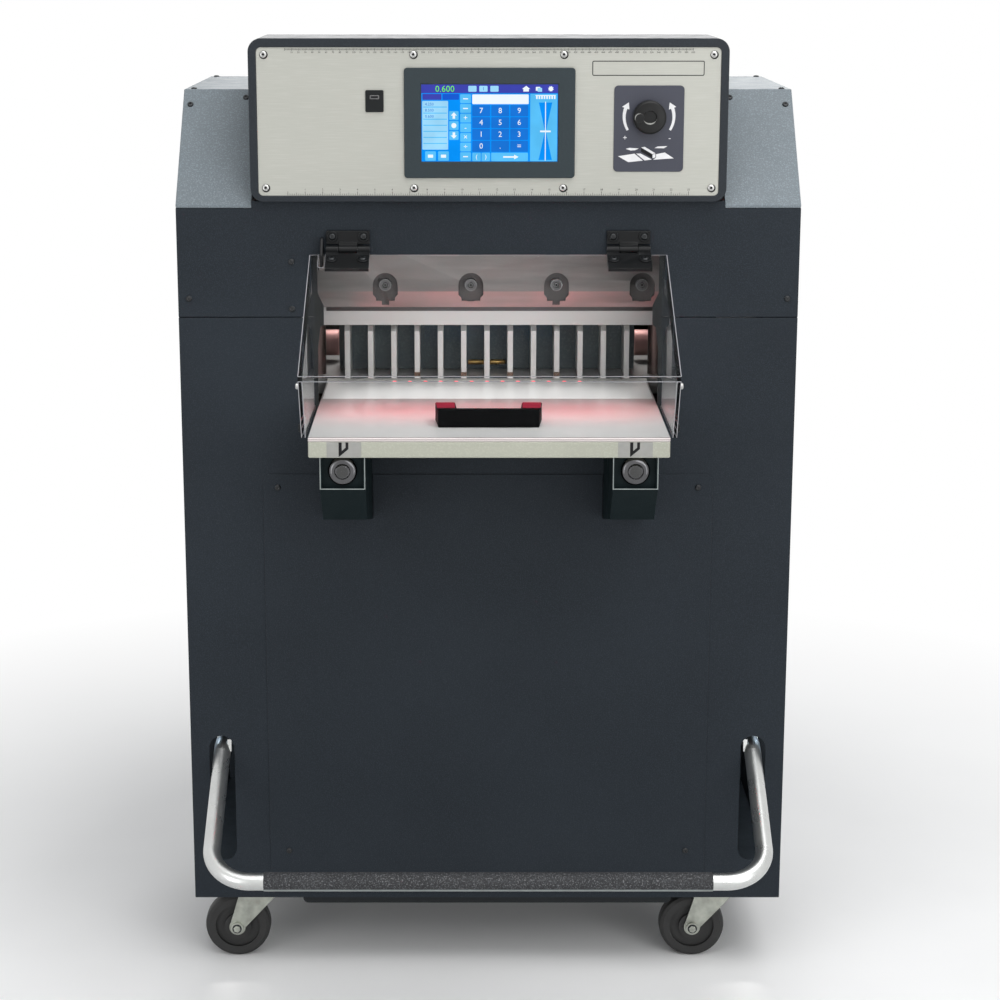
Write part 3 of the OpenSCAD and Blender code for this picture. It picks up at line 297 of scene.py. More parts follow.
def clear_sheet(name, tint, rough):
    """Clear acrylic that lets lamp light through to what is behind it."""
    material, tree, bsdf = new_material(name)
    bsdf.inputs["Base Color"].default_value = (*tint, 1.0)
    bsdf.inputs["Transmission Weight"].default_value = 1.0
    bsdf.inputs["IOR"].default_value = 1.07
    haze = spread(tree, noise(tree, 14.0, 4.0), rough, rough * 2.5)
    tree.links.new(haze, bsdf.inputs["Roughness"])
    passing = tree.nodes.new("ShaderNodeBsdfTransparent")
    passing.inputs["Color"].default_value = (0.95, 0.955, 0.95, 1.0)
    shadow = tree.nodes.new("ShaderNodeLightPath").outputs["Is Shadow Ray"]
    sheet = mix_shaders(tree, shadow, bsdf.outputs[0], passing.outputs[0])
    tree.links.new(sheet, tree.nodes["Material Output"].inputs["Surface"])
    return material


# what like finishes share
MOULDED = dict(speckle_scale=1200.0, grain=1100.0, specular=0.2)
# ground steel: the lighter edges are partly worn steel and partly a painted highlight along the
# edges
GROUND = dict(
    metallic=0.45, rough=0.42, tone=0.10, tone_scale=9.0, speckle=0.10, speckle_scale=60.0,
    grain=280.0, depth=0.00004, stretch=(0.06, 1.0, 1.0), wear=(0.55, 0.54, 0.53),
    wear_width=0.0008,
)
NEW_STEEL = dict(metallic=0.9, tone_scale=60.0, grain=1200.0, depth=0.00003)

cabinet_paint = surface(
    "powder_coat_dark", (0.0150, 0.0195, 0.0250), tone=0.10, speckle=0.35, speckle_scale=700.0,
    grain=650.0, depth=0.00025, wear=(0.05, 0.055, 0.06), specular=0.13,
)
shoulder_paint = surface(
    "powder_coat_slate", (0.142, 0.168, 0.186), rough=0.48, speckle=0.26, speckle_scale=520.0,
    grain=520.0, depth=0.00025, wear=(0.30, 0.33, 0.35), wear_width=0.0014, specular=0.32,
)
black_paint = surface(
    "satin_black_paint", (0.014, 0.0165, 0.0185), rough=0.42, speckle=0.25, grain=500.0,
    depth=0.0002, wear=(0.13, 0.14, 0.14), wear_width=0.0009, specular=0.2,
)
hinge_plastic = surface(
    "hinge_black_plastic", (0.0045, 0.0050, 0.0056), rough=0.40, tone=0.10, speckle=0.15,
    depth=0.0001, wear=(0.045, 0.05, 0.055), wear_width=0.0010, **MOULDED,
)
black_plastic = surface(
    "moulded_black_plastic", (0.0060, 0.0072, 0.0078), rough=0.40, tone=0.10, speckle=0.2,
    depth=0.00012, **MOULDED,
)
bezel_plastic = surface(
    "bezel_slate_plastic", (0.025, 0.035, 0.040), rough=0.46, tone=0.05, speckle=0.15, depth=0.0001,
    wear=(0.09, 0.10, 0.11), wear_width=0.0008, **MOULDED,
)
block_black = surface(
    "black_phenolic", (0.0016, 0.0017, 0.0020), rough=0.56, tone=0.12, tone_scale=30.0, grain=700.0,
    depth=0.0001, wear=(0.02, 0.02, 0.022), wear_width=0.0006, specular=0.05,
)
knob_plastic = surface(
    "knob_black_plastic", (0.0050, 0.0052, 0.0054), rough=0.40, grain=1300.0, depth=0.0001,
    specular=0.25, wear=(0.10, 0.10, 0.10), wear_width=0.0010,
)
console_shell = surface(
    "console_slate_plastic", (0.0165, 0.0205, 0.0255), rough=0.42, tone=0.07, speckle=0.25,
    grain=800.0, depth=0.00015, wear=(0.08, 0.09, 0.10), wear_width=0.0015, specular=0.2,
)
silver_plate = surface(
    "brushed_silver_plate", (0.41, 0.412, 0.372), metallic=0.2, rough=0.42, tone=0.035,
    tone_scale=2.0, speckle=0.05, speckle_scale=500.0, grain=420.0, depth=0.00002,
    stretch=(0.05, 1.0, 2.0),
)
cream_paint = surface(
    "cream_enamel", (0.350, 0.356, 0.296), rough=0.42, tone=0.05, speckle=0.06, speckle_scale=380.0,
    grain=420.0, depth=0.00025, wear=(0.78, 0.78, 0.70), wear_width=0.0022,
)
table_steel = surface(
    "polished_table_steel", (0.54, 0.54, 0.535), metallic=0.30, rough=0.30, tone=0.02,
    tone_scale=6.0, grain=300.0, depth=0.000004, rough_spread=0.012,
)
# painted shade under the throat's edge, and a painted highlight with painted shade lines on the
# plate's own front edge
PAINTED_EDGE_SHADE = (0.24, 0.18, 0.18)
tree = table_steel.node_tree
# painted shade on the table plate near the throat, where the head shades it
painted_throat_shade = spread(tree, place_on(tree, "Y"), 0.0, 0.55, at(0, -95, 0).y, at(0, -20, 0).y)
recolour(table_steel, painted_throat_shade, (0.26, 0.245, 0.245))
# painted shade on a thin band along the plate's front edge
edge_shade_band = arithmetic(tree, "LESS_THAN", place_on(tree, "Y"), at(0, -228.8, 0).y)
recolour(table_steel, edge_shade_band, PAINTED_EDGE_SHADE)
# a painted highlight on the plate's front edge
highlit_front_edge = arithmetic(tree, "LESS_THAN", place_on(tree, "Y"), at(0, -231.9, 0).y)
recolour(table_steel, highlit_front_edge, (0.64, 0.59, 0.58))
# and a painted shade line across that front edge
over = arithmetic(tree, "GREATER_THAN", place_on(tree, "Z"), at(0, 0, 893.1).z)
under = arithmetic(tree, "LESS_THAN", place_on(tree, "Z"), at(0, 0, 894.0).z)
edge_shade_line = arithmetic(tree, "MULTIPLY", highlit_front_edge, arithmetic(tree, "MULTIPLY", over, under))
recolour(table_steel, edge_shade_line, PAINTED_EDGE_SHADE)
table_face = surface(
    "bright_table_face", (0.80, 0.80, 0.795), metallic=0.15, rough=0.34, tone=0.02, tone_scale=8.0,
    grain=300.0, depth=0.000004, rough_spread=0.012,
)
ground_steel = surface("ground_steel", (0.235, 0.222, 0.218), **GROUND)
bar_steel = surface("ground_knife_bar", (0.235, 0.226, 0.222), **GROUND)
# long drawn streaks; painted red light from the cut-line lamps on the bar's lower bevel, and
# painted shade in its bolt pockets, which are cut in behind the face
BAR_FACE = at(0, 190, 0).y
BEVEL_TOP = at(0, 0, 1037.5).z
BEVEL_LEAN = 0.5
tree = bar_steel.node_tree
streaks = spread(tree, noise(tree, 46.0, 5.0, (0.10, 1.0, 1.0)), 0.0, 0.55, 0.46, 0.68)
recolour(bar_steel, streaks, (0.13, 0.124, 0.123))
below_top = arithmetic(tree, "SUBTRACT", BEVEL_TOP, place_on(tree, "Z"))
painted_red_light = arithmetic(tree, "GREATER_THAN", below_top, 0.0)
for share in (
    spread(tree, noise(tree, 22.0, 4.0, (0.5, 1.0, 1.0)), 0.35, 1.0),
    spread(tree, place_on(tree, "X"), 0.1, 1.0, -0.215, -0.170),
):
    painted_red_light = arithmetic(tree, "MULTIPLY", painted_red_light, share)
# painted red light from the cut-line lamps on the lower bevel
recolour(bar_steel, painted_red_light, (0.50, 0.265, 0.265))
# painted shade inside the bolt pockets, which lie more than 0.8 mm behind the face
lean = arithmetic(tree, "MULTIPLY", arithmetic(tree, "MAXIMUM", below_top, 0.0), BEVEL_LEAN)
face_here = arithmetic(tree, "ADD", lean, BAR_FACE)
behind = arithmetic(tree, "SUBTRACT", place_on(tree, "Y"), face_here)
recolour(bar_steel, arithmetic(tree, "GREATER_THAN", behind, 0.8 * MM), (0.085, 0.080, 0.080))
clamp_steel = surface(
    "nickel_clamp", (0.62, 0.615, 0.605), metallic=0.3, rough=0.34, tone=0.05, grain=260.0,
    depth=0.00005, stretch=(0.06, 1.0, 1.0), wear=(0.85, 0.85, 0.84), wear_width=0.0008,
)
blade_steel = surface(
    "knife_blade_steel", (0.10, 0.092, 0.092), metallic=0.8, rough=0.30, tone=0.05, grain=320.0,
    depth=0.00004, stretch=(0.05, 1.0, 1.0),
)
bolt_steel = surface(
    "bolt_steel", (0.13, 0.13, 0.133), metallic=0.7, rough=0.34, tone=0.10, tone_scale=40.0,
    depth=0.00004, wear=(0.60, 0.60, 0.60), wear_width=0.0010,
)
bright_screw = surface("bright_screw", (0.46, 0.46, 0.45), rough=0.26, tone=0.06, **NEW_STEEL)
washer_steel = surface("washer_steel", (0.20, 0.20, 0.203), rough=0.30, tone=0.10, **NEW_STEEL)
dark_screw = surface(
    "dark_screw", (0.012, 0.014, 0.016), metallic=0.3, rough=0.36, tone=0.10, tone_scale=60.0,
    grain=1000.0, depth=0.00004, wear=(0.14, 0.14, 0.15), wear_width=0.0004,
)
# dark nickel buttons: the lighter edges are partly wear and partly a painted highlight on the
# chamfers
button_metal = surface(
    "dark_nickel", (0.075, 0.076, 0.076), metallic=0.95, rough=0.26, tone_scale=30.0, depth=0.00003,
    wear=(0.60, 0.60, 0.60), wear_width=0.0010, rough_spread=0.03,
)
dark_chrome = surface(
    "dark_chrome", (0.11, 0.11, 0.115), metallic=1.0, rough=0.15, tone=0.10, tone_scale=40.0,
    depth=0.00003, rough_spread=0.03,
)
white_plastic = surface("white_plastic", (0.70, 0.70, 0.68), rough=0.42, tone=0.04, depth=0.0001)
bronze_steel = surface(
    "bronzed_steel", (0.085, 0.055, 0.050), metallic=0.7, rough=0.34, tone=0.15, tone_scale=14.0,
    grain=400.0, depth=0.00004,
)
slate_steel = surface(
    "blued_steel", (0.090, 0.115, 0.128), metallic=0.2, rough=0.46, tone=0.12, tone_scale=14.0,
    speckle=0.2, speckle_scale=300.0, grain=500.0, depth=0.00006, specular=0.3,
)
bracket_paint = surface(
    "bracket_dark_paint", (0.0050, 0.0104, 0.0120), rough=0.48, tone=0.10, speckle=0.3,
    speckle_scale=700.0, grain=650.0, depth=0.0002, specular=0.10,
)
# painted red light from the cut-line lamps, for the tops of the jogging block's arms
painted_red_glow = surface(
    "red_glow_paint", (0.17, 0.010, 0.024), rough=0.7, tone=0.12, tone_scale=60.0, depth=0.0001,
    specular=0.1,
)
bare_edge = surface(
    "bare_sheet_edge", (0.27, 0.30, 0.295), metallic=0.6, rough=0.34, tone=0.18, tone_scale=60.0,
    depth=0.00004,
)
brass = surface(
    "brass", (0.56, 0.37, 0.13), metallic=1.0, rough=0.30, tone=0.12, tone_scale=40.0, grain=500.0,
    depth=0.00004,
)
copper = surface(
    "copper_roller", (0.31, 0.165, 0.155), metallic=0.7, rough=0.52, tone=0.14, tone_scale=30.0,
    grain=500.0, depth=0.00004, stretch=(1.0, 0.1, 0.1),
)
tube_zinc = surface(
    "galvanised_tube", (0.58, 0.59, 0.58), metallic=0.97, rough=0.29, tone=0.05, tone_scale=26.0,
    speckle=0.06, speckle_scale=260.0, grain=420.0, depth=0.00003, rough_spread=0.03,
)
castor_zinc = surface(
    "zinc_pressing", (0.39, 0.405, 0.36), metallic=0.7, rough=0.36, tone=0.24, tone_scale=60.0,
    grain=500.0, depth=0.00006, wear=(0.65, 0.66, 0.62), wear_width=0.0008,
)
castor_tread = surface(
    "hard_rubber", (0.014, 0.014, 0.014), rough=0.62, tone=0.18, tone_scale=20.0, speckle=0.15,
    speckle_scale=500.0, grain=600.0, depth=0.0001,
)
grip_tape = surface(
    "grit_tape", (0.015, 0.016, 0.018), rough=0.78, tone=0.12, tone_scale=20.0, speckle=0.95,
    speckle_scale=360.0, grain=360.0, depth=0.0012,
)
# coarse bright grit
tree = grip_tape.node_tree
recolour(
    grip_tape, spread(tree, noise(tree, 520.0, 1.0), 0.0, 0.55, 0.56, 0.70), (0.22, 0.22, 0.23)
)
knob_plate_paint = surface(
    "knob_plate_print", (0.030, 0.033, 0.050), rough=0.40, tone=0.05, depth=0.00005,
)
screen_glass = surface(
    "screen_glass", (0.012, 0.030, 0.10), rough=0.12, tone=0.05, rough_spread=0.03,
)
guard_acrylic = clear_sheet("clear_acrylic", (0.985, 0.985, 0.985), 0.012)
# grey strips painted as the highlights on the clear sheet's edges
guard_edge_highlight = surface(
    "acrylic_edge_highlight", (0.34, 0.34, 0.36), rough=0.16, tone=0.06, tone_scale=20.0,
    grain=300.0, depth=0.00002, rough_spread=0.04,
)
# black for print, and for painted shade and shadow at screws and bolt sockets
black_print_and_shade = surface(
    "black_print_and_shade", (0.008, 0.008, 0.009), rough=0.6, tone=0.15, tone_scale=120.0, specular=0.15,
)
white_ink = surface("white_ink", (0.72, 0.72, 0.73), tone=0.05, tone_scale=120.0)
# grey for printed marks, and for painted highlights on the knob
grey_print_and_highlight = surface("grey_print_and_highlight", (0.27, 0.27, 0.255), rough=0.45, tone=0.06, tone_scale=80.0)
brown_pad = surface(
    "brown_pad", (0.16, 0.095, 0.065), rough=0.6, tone=0.15, tone_scale=80.0, depth=0.0001,
)
# glow for the cut-line lamps, and for painted reflections of them in the table
red_lamp_and_reflection = glow("red_line_light_and_reflection", (1.0, 0.06, 0.08), 3.0)

SCREEN_INK = {
    key: glow(f"screen_{key}", colour, 1.0, tone)
    for key, colour, tone in (
        ("blue", (0.002, 0.28, 0.93), 0.08), ("deep", (0.010, 0.10, 0.62), 0.08),
        ("key", (0.010, 0.17, 0.66), 0.08), ("cyan", (0.10, 0.52, 0.93), 0.08),
        ("pale", (0.33, 0.68, 0.95), 0.08), ("white", (0.86, 0.93, 1.0), 0.03),
        ("bar", (0.050, 0.060, 0.42), 0.08), ("green", (0.20, 0.86, 0.08), 0.08),
    )
}

SLOT_MATERIAL = {
    "cabinet_paint": cabinet_paint, "shoulder_paint": shoulder_paint,
    "black_plastic": black_plastic, "black_paint": black_paint, "cream_paint": cream_paint,
    "polished_steel": table_steel, "ground_steel": ground_steel, "bolt_steel": bolt_steel,
    "white_plastic": white_plastic, "silver_plate": silver_plate, "screen_glass": screen_glass,
    "knob_plate": knob_plate_paint, "button_metal": button_metal, "clear_acrylic": guard_acrylic,
    "brass": brass, "tube_zinc": tube_zinc, "grip_tape": grip_tape, "castor_zinc": castor_zinc,
    "castor_tread": castor_tread,
}
SLOT_OF = {part["node"]: part["material_slot"] for part in frame["record"]["subparts"]}
NODE_MATERIAL = {
    "knife_blade": blade_steel, "clamp_rods": bronze_steel, "gauge_carriage": slate_steel,
    "clamp_beam": clamp_steel, "gauge_fingers": clamp_steel, "console_housing": console_shell,
    "screen_bezel": bezel_plastic, "jogging_block": block_black, "micro_knob": knob_plastic,
    "knife_bar": bar_steel, "button_brackets": bracket_paint, "hinge_base_leaves": hinge_plastic,
    "hinge_guard_leaves": hinge_plastic,
}

for node_name, node_object in nodes.items():
    node_object.data.materials.clear()
    node_object.data.materials.append(
        NODE_MATERIAL.get(node_name, SLOT_MATERIAL[SLOT_OF[node_name]])
    )


# making pieces

def finish_piece(name, mesh, material, body):
    piece = bpy.data.objects.new(name, mesh)
    scene.collection.objects.link(piece)
    mesh.materials.clear()
    mesh.materials.append(material)
    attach(piece, body)
    return piece


def from_bmesh(name, bm, material, body, smooth=None):
    """Make a piece of a bmesh; smooth is the angle in degrees below which faces shade as one."""
    bmesh.ops.recalc_face_normals(bm, faces=bm.faces)
    mesh = bpy.data.meshes.new(name)
    bm.to_mesh(mesh)
    bm.free()
    if smooth:
        mesh.shade_smooth()
        mesh.set_sharp_from_angle(angle=math.radians(smooth))
    return finish_piece(name, mesh, material, body)


def dress(node, bevel):
    """Stand in for a CAD node with the same solid, its sharp edges eased by a bevel."""
    bm = bmesh.new()
    bm.from_mesh(nodes[node].data)
    bmesh.ops.remove_doubles(bm, verts=bm.verts, dist=1e-6)
    bmesh.ops.dissolve_limit(
        bm, angle_limit=math.radians(0.5), verts=bm.verts, edges=bm.edges,
        use_dissolve_boundaries=False,
    )
    material = nodes[node].data.materials[0]
    piece = from_bmesh(f"dressed_{node}", bm, material, BODY_OF[node], 40)
    ease = piece.modifiers.new("eased_edges", "BEVEL")
    ease.width = bevel * MM
    ease.segments = 2
    ease.limit_method = "ANGLE"
    ease.angle_limit = math.radians(35)
    ease.harden_normals = True
    ease.use_clamp_overlap = True
    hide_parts(node)


def add_loft(bm, near, far):
    """A closed solid between two like outlines of points."""
    near = [bm.verts.new(point) for point in near]
    far = [bm.verts.new(point) for point in far]
    bm.faces.new(near)
    bm.faces.new(far[::-1])
    count = len(near)
    for i in range(count):
        j = (i + 1) % count
        bm.faces.new((near[i], far[i], far[j], near[j]))


def add_slab(bm, outline, front, back):
    """A plate facing the front: outline of (x, z) points, between two depths."""
    add_loft(bm, [at(x, front, z) for x, z in outline], [at(x, back, z) for x, z in outline])


def add_prism(bm, outline, x0, x1):
    """A bar along X: outline of (depth, z) points, between two sides."""
    add_loft(bm, [at(x0, *point) for point in outline], [at(x1, *point) for point in outline])


def add_box(bm, low, high):
    """A box between two corners given as (x, depth, z) in millimetres."""
    (x0, front, z0), (x1, back, z1) = low, high
    add_slab(bm, [(x0, z0), (x1, z0), (x1, z1), (x0, z1)], front, back)


def polar(x, z, radius, turn):
    """A point about a centre, by radius and angle."""
    return x + radius * math.cos(turn), z + radius * math.sin(turn)


def rounded(x0, x1, z0, z1, radius, steps=5):
    """The outline of a rectangle with round corners."""
    points = []
    for cx, cz, start in (
        (x1 - radius, z1 - radius, 0), (x0 + radius, z1 - radius, 90),
        (x0 + radius, z0 + radius, 180), (x1 - radius, z0 + radius, 270),
    ):
        for i in range(steps + 1):
            points.append(polar(cx, cz, radius, math.radians(start + 90 * i / steps)))
    return points


def add_lathe(bm, centre, axis, profile, sides):
    """Turn a profile of (radius, distance along axis) in millimetres about an axis."""
    axis = Vector(axis).normalized()
    across = axis.orthogonal().normalized()
    third = axis.cross(across)
    rings = []
    for radius, along in profile:
        middle = centre + axis * along * MM
        if radius == 0:
            rings.append([bm.verts.new(middle)])
            continue
        rings.append([
            bm.verts.new(
                middle
                + across * math.cos(2 * math.pi * i / sides) * radius * MM
                + third * math.sin(2 * math.pi * i / sides) * radius * MM
            )
            for i in range(sides)
        ])
    for one, two in zip(rings, rings[1:]):
        for i in range(sides):
            j = (i + 1) % sides
            corners = (one[i % len(one)], one[j % len(one)], two[j % len(two)], two[i % len(two)])
            bm.faces.new(dict.fromkeys(corners))


def turned(name, profile, places, axis, material, body, smooth=35, sides=20):
    """One piece of like turned parts; an axis of None points out to each part's own side."""
    bm = bmesh.new()
    for x, depth, z in places:
        add_lathe(bm, at(x, depth, z), axis or (math.copysign(1, x), 0, 0), profile, sides)
    return from_bmesh(name, bm, material, body, smooth)


def disc(radius, low, high):
    """The profile of a disc, between two distances along its axis."""
    return [(0, low), (radius, low), (radius, high), (0, high)]


def flat_ring(inside, outside, height):
    """The profile of a flat ring."""
    return [(inside, 0), (outside, 0), (outside, height), (inside, height), (inside, 0)]


def both_sides(x, depth, z):
    return [(-x, depth, z), (x, depth, z)]


def socket_screw(radius, height, hexagon, depth):
    """The profile of a domed socket-head screw, from its seat out and back into the socket."""
    return [
        (radius, 0), (radius, height * 0.35), (radius * 0.88, height * 0.75),
        (radius * 0.62, height), (hexagon, height), (hexagon, height - depth), (0, height - depth),
    ]


FORWARD, BACKWARD = (0, -1, 0), (0, 1, 0)


def screws(name, places, material, body, radius, height, hexagon, depth, axis=FORWARD):
    profile = socket_screw(radius, height, hexagon, depth)
    turned(name, profile, places, axis, material, body, sides=18)


def panel_screws(name, places, axis=FORWARD):
    """The cabinet's dark screws, which are all of one size."""
    screws(name, places, dark_screw, "root", 4.6, 2.2, 2.0, 1.4, axis)


def words_mesh(text, size, x, depth, z, thickness, align="CENTER"):
    """A mesh of upright digits facing the front, size in millimetres of line height."""
    curve = bpy.data.curves.new("digits", "FONT")
    curve.body = text
    curve.size = size * MM
    curve.align_x = align
    curve.align_y = "CENTER"
    curve.extrude = thickness * MM
    curve.resolution_u = 2
    holder = bpy.data.objects.new("digits", curve)
    scene.collection.objects.link(holder)
    graph = bpy.context.evaluated_depsgraph_get()
    mesh = bpy.data.meshes.new_from_object(holder.evaluated_get(graph))
    bpy.data.objects.remove(holder)
    bpy.data.curves.remove(curve)
    bm = bmesh.new()
    bm.from_mesh(mesh)
    bpy.data.meshes.remove(mesh)
    place = at(x, depth, z)
    for vert in bm.verts:
        vert.co = Vector((vert.co.x, -vert.co.z, vert.co.y)) + place
    return bm


def merge(bm, other):
    """Add all of one bmesh to another."""
    mesh = bpy.data.meshes.new("joining")
    other.to_mesh(mesh)
    other.free()
    bm.from_mesh(mesh)
    bpy.data.meshes.remove(mesh)


# eased edges on the solids that show

EASED = {
    "front_panel": 1.0, "head_panel": 1.0, "access_panel": 0.5, "left_side_panel": 1.0,
    "right_side_panel": 1.0, "shoulder_covers": 1.2, "top_cover": 1.0, "back_panel": 1.0,
    "rear_cover": 1.0, "drip_tray": 1.0, "console_housing": 2.5, "console_faceplate": 0.4,
    "screen_bezel": 1.2, "knob_plate": 0.4, "port_plate": 0.4, "front_table": 2.0,
    "table_plate": 0.7, "clamp_beam": 0.8, "gauge_fingers": 0.5, "gauge_carriage": 0.8,
    "button_brackets": 0.5, "button_collars": 0.8, "left_button_cap": 0.6,
    "right_button_cap": 0.6, "hinge_base_leaves": 0.9, "hinge_guard_leaves": 0.9,
    "micro_knob": 0.7, "jogging_block": 1.2, "knife_bar": 0.8, "knife_bolts": 0.5,
    "left_castor_fork": 0.6, "right_castor_fork": 0.6, "castor_mounts": 0.8,
}
for node_name, width in EASED.items():
    dress(node_name, width)

# console: screws, rulers, knob art and screen picture

PLATE_FRONT = -10.0
INK = 0.12

CONSOLE_SCREWS = [(x, z) for x in (-320, -107, 107, 320) for z in (1405.5, 1217)]
screws(
    "console_screws", [(x, PLATE_FRONT, z) for x, z in CONSOLE_SCREWS], bright_screw, "root",
    5.2, 2.6, 2.0, 1.8,
)
# painted shadows of the console screws, down and right of each, and painted shade in their sockets
screw_shade = bmesh.new()
for x, z in CONSOLE_SCREWS:
    add_lathe(screw_shade, at(x + 0.5, PLATE_FRONT, z - 0.6), FORWARD, disc(6.0, 0, 0.3), 20)
    add_lathe(screw_shade, at(x, PLATE_FRONT - 0.9, z), FORWARD, disc(1.9, 0, 0.4), 6)
from_bmesh("console_screw_painted_shade", screw_shade, black_print_and_shade, "root")

PLATE_LOW, PLATE_HIGH = 1205.5, 1415.5
# each scale's first mark, its pitch for a millimetre or an inch, and its length in those
METRIC_START, METRIC_STEP, MILLIMETRES = -289.6, 0.983, 590
INCH_START, INCH_STEP, INCHES = -288.4, 25.05, 23
ruler = bmesh.new()


def tick(x, half, z0, z1):
    add_box(ruler, (x - half, PLATE_FRONT - INK, z0), (x + half, PLATE_FRONT, z1))


def ruler_number(number, size, x, z):
    merge(ruler, words_mesh(str(number), size, x, PLATE_FRONT - INK / 2, z, INK / 2))


add_box(
    ruler, (METRIC_START, PLATE_FRONT - INK, PLATE_HIGH - 3.9),
    (METRIC_START + MILLIMETRES * METRIC_STEP, PLATE_FRONT, PLATE_HIGH - 3.5),
)
for step in range(0, MILLIMETRES + 1, 2):
    whole = step % 10 == 0
    tick(
        METRIC_START + step * METRIC_STEP, 0.28 if whole else 0.2,
        PLATE_HIGH - (4.8 if whole else 3.6), PLATE_HIGH - 1.2,
    )
for step in range(10, MILLIMETRES + 1, 10):
    ruler_number(step, 3.6, METRIC_START + step * METRIC_STEP, PLATE_HIGH - 7.2)
for step in range(INCHES * 8 + 1):
    whole = step % 8 == 0
    reach = 6.2 if whole else (4.6 if step % 4 == 0 else 3.2)
    tick(
        INCH_START + step * INCH_STEP / 8, 0.3 if whole else 0.22,
        PLATE_LOW + 0.5, PLATE_LOW + reach,
    )
for step in range(1, INCHES + 1):
    ruler_number(step, 4.0, INCH_START + step * INCH_STEP, PLATE_LOW + 8.8)
from_bmesh("faceplate_rulers", ruler, black_print_and_shade, "root")

# an empty frame where the photo has a name plate
name_frame = bmesh.new()
outer = rounded(147.4, 306.9, 1375.6, 1396.6, 2.2)
inner = rounded(148.6, 305.7, 1376.8, 1395.4, 1.2)
for i in range(len(outer)):
    j = (i + 1) % len(outer)
    add_slab(name_frame, [outer[i], outer[j], inner[j], inner[i]], PLATE_FRONT - INK, PLATE_FRONT)
from_bmesh("empty_name_frame", name_frame, black_print_and_shade, "root")

# knob plate: two turn arrows and a picture of a stack on a table
KNOB_PLATE_FRONT = -11.5
KNOB_X, KNOB_Z, SPINNER_OUT = 229.0, 1318.0, 15.5


def curved_arrow(bm, start, end):
    """A tapering arrow along an arc about the knob, from one angle to another in degrees."""
    steps, radius = 12, 35.5
    outer, inner = [], []
    for i in range(steps + 1):
        share = i / steps
        turn = math.radians(start + (end - start) * share)
        half = 1.7 + 0.7 * share
        outer.append(polar(KNOB_X, KNOB_Z, radius + half, turn))
        inner.append(polar(KNOB_X, KNOB_Z, radius - half, turn))
    tip = math.radians(end + math.copysign(15, end - start))
    head = [
        polar(KNOB_X, KNOB_Z, r, t)
        for r, t in ((radius + 5.6, turn), (radius, tip), (radius - 5.6, turn))
    ]
    for outline in (outer + inner[::-1], head):
        add_slab(bm, outline, KNOB_PLATE_FRONT - INK, KNOB_PLATE_FRONT)


art = bmesh.new()
curved_arrow(art, 212, 160)
curved_arrow(art, -32, 20)
for outline in (
    [(185.5, 1262.2), (209.0, 1265.8), (221.4, 1255.9), (200.3, 1253.7)],
    [(211.4, 1266.0), (218.0, 1265.9), (234.0, 1257.5), (223.8, 1256.1)],
    [(240.0, 1265.0), (252.3, 1267.5), (265.5, 1259.1), (236.0, 1257.2), (240.0, 1260.0)],
    [(196.4, 1272.6), (201.8, 1274.0), (215.0, 1273.2), (209.6, 1270.6), (203.4, 1270.3)],
    [(237.5, 1273.7), (242.2, 1276.0), (256.1, 1276.6), (251.0, 1273.4)],
    [(218.6, 1274.6), (223.6, 1275.6), (239.1, 1266.3), (234.6, 1265.2)],
    [(235.0, 1264.6), (239.1, 1265.6), (239.1, 1260.4), (235.0, 1259.4)],
):
    add_slab(art, outline, KNOB_PLATE_FRONT - INK, KNOB_PLATE_FRONT)
for sign, x in (("+", 195.0), ("-", 259.0)):
    merge(art, words_mesh(sign, 11.0, x, KNOB_PLATE_FRONT - INK / 2, 1288.0, INK / 2))
from_bmesh("knob_plate_art", art, white_ink, "root")
gauge_art = bmesh.new()
add_slab(
    gauge_art, [(218.3, 1273.8), (234.4, 1264.6), (234.4, 1259.3), (218.3, 1268.6)],
    KNOB_PLATE_FRONT - INK, KNOB_PLATE_FRONT,
)
from_bmesh("knob_plate_gauge_art", gauge_art, black_print_and_shade, "root")

# knob: a painted highlight in its hub and a painted highlight along the rim of its spinner
KNOB_FACE, SPINNER_FACE = -31.8, -35.8


def arc_band(bm, x, z, start, end, inside, outside, front):
    """A flat band along an arc that faces the front, thinning to points at its two ends."""
    steps, least = 14, 0.05
    points = []
    for i in range(steps + 1):
        share = i / steps
        width = (outside - inside) * math.sin(math.pi * share) + least
        points.append((math.radians(start + (end - start) * share), outside - width))
    for (turn, near), (next_turn, next_near) in zip(points, points[1:]):
        corners = ((outside, turn), (outside, next_turn), (next_near, next_turn), (near, turn))
        add_slab(bm, [polar(x, z, *corner) for corner in corners], front - INK, front)


glints = bmesh.new()
arc_band(glints, KNOB_X, KNOB_Z, 205, 335, 7.6, 9.6, KNOB_FACE)
arc_band(glints, KNOB_X - SPINNER_OUT, KNOB_Z, 60, 215, 5.0, 6.2, SPINNER_FACE)
from_bmesh("knob_glints", glints, grey_print_and_highlight, "knob")

# data port: a slotted socket in its plate
port = bmesh.new()
add_slab(port, rounded(-169, -156, 1343, 1348.5, 1.2), -13.2, -12.0)
from_bmesh("data_port", port, bolt_steel, "root", 40)
port_gap = bmesh.new()
add_box(port_gap, (-167.4, -13.5, 1344.4), (-157.6, -13.1, 1347.1))
from_bmesh("data_port_gap", port_gap, black_print_and_shade, "root")

# screen picture, in shares of the glass's width and height from its top left corner
SCREEN_X, SCREEN_TOP = -96.5, 1364.0
SCREEN_W, SCREEN_H = 196.0, 110.0
GLASS_FRONT = -12.0
LAYER = 0.05


def on_screen(u, v):
    return SCREEN_X + u * SCREEN_W, SCREEN_TOP - v * SCREEN_H


def screen_slab(ink, outline, layer):
    front = GLASS_FRONT - layer * LAYER
    add_slab(picture[ink], outline, front, front + LAYER)


def screen_shape(ink, points, layer):
    screen_slab(ink, [on_screen(u, v) for u, v in points], layer)


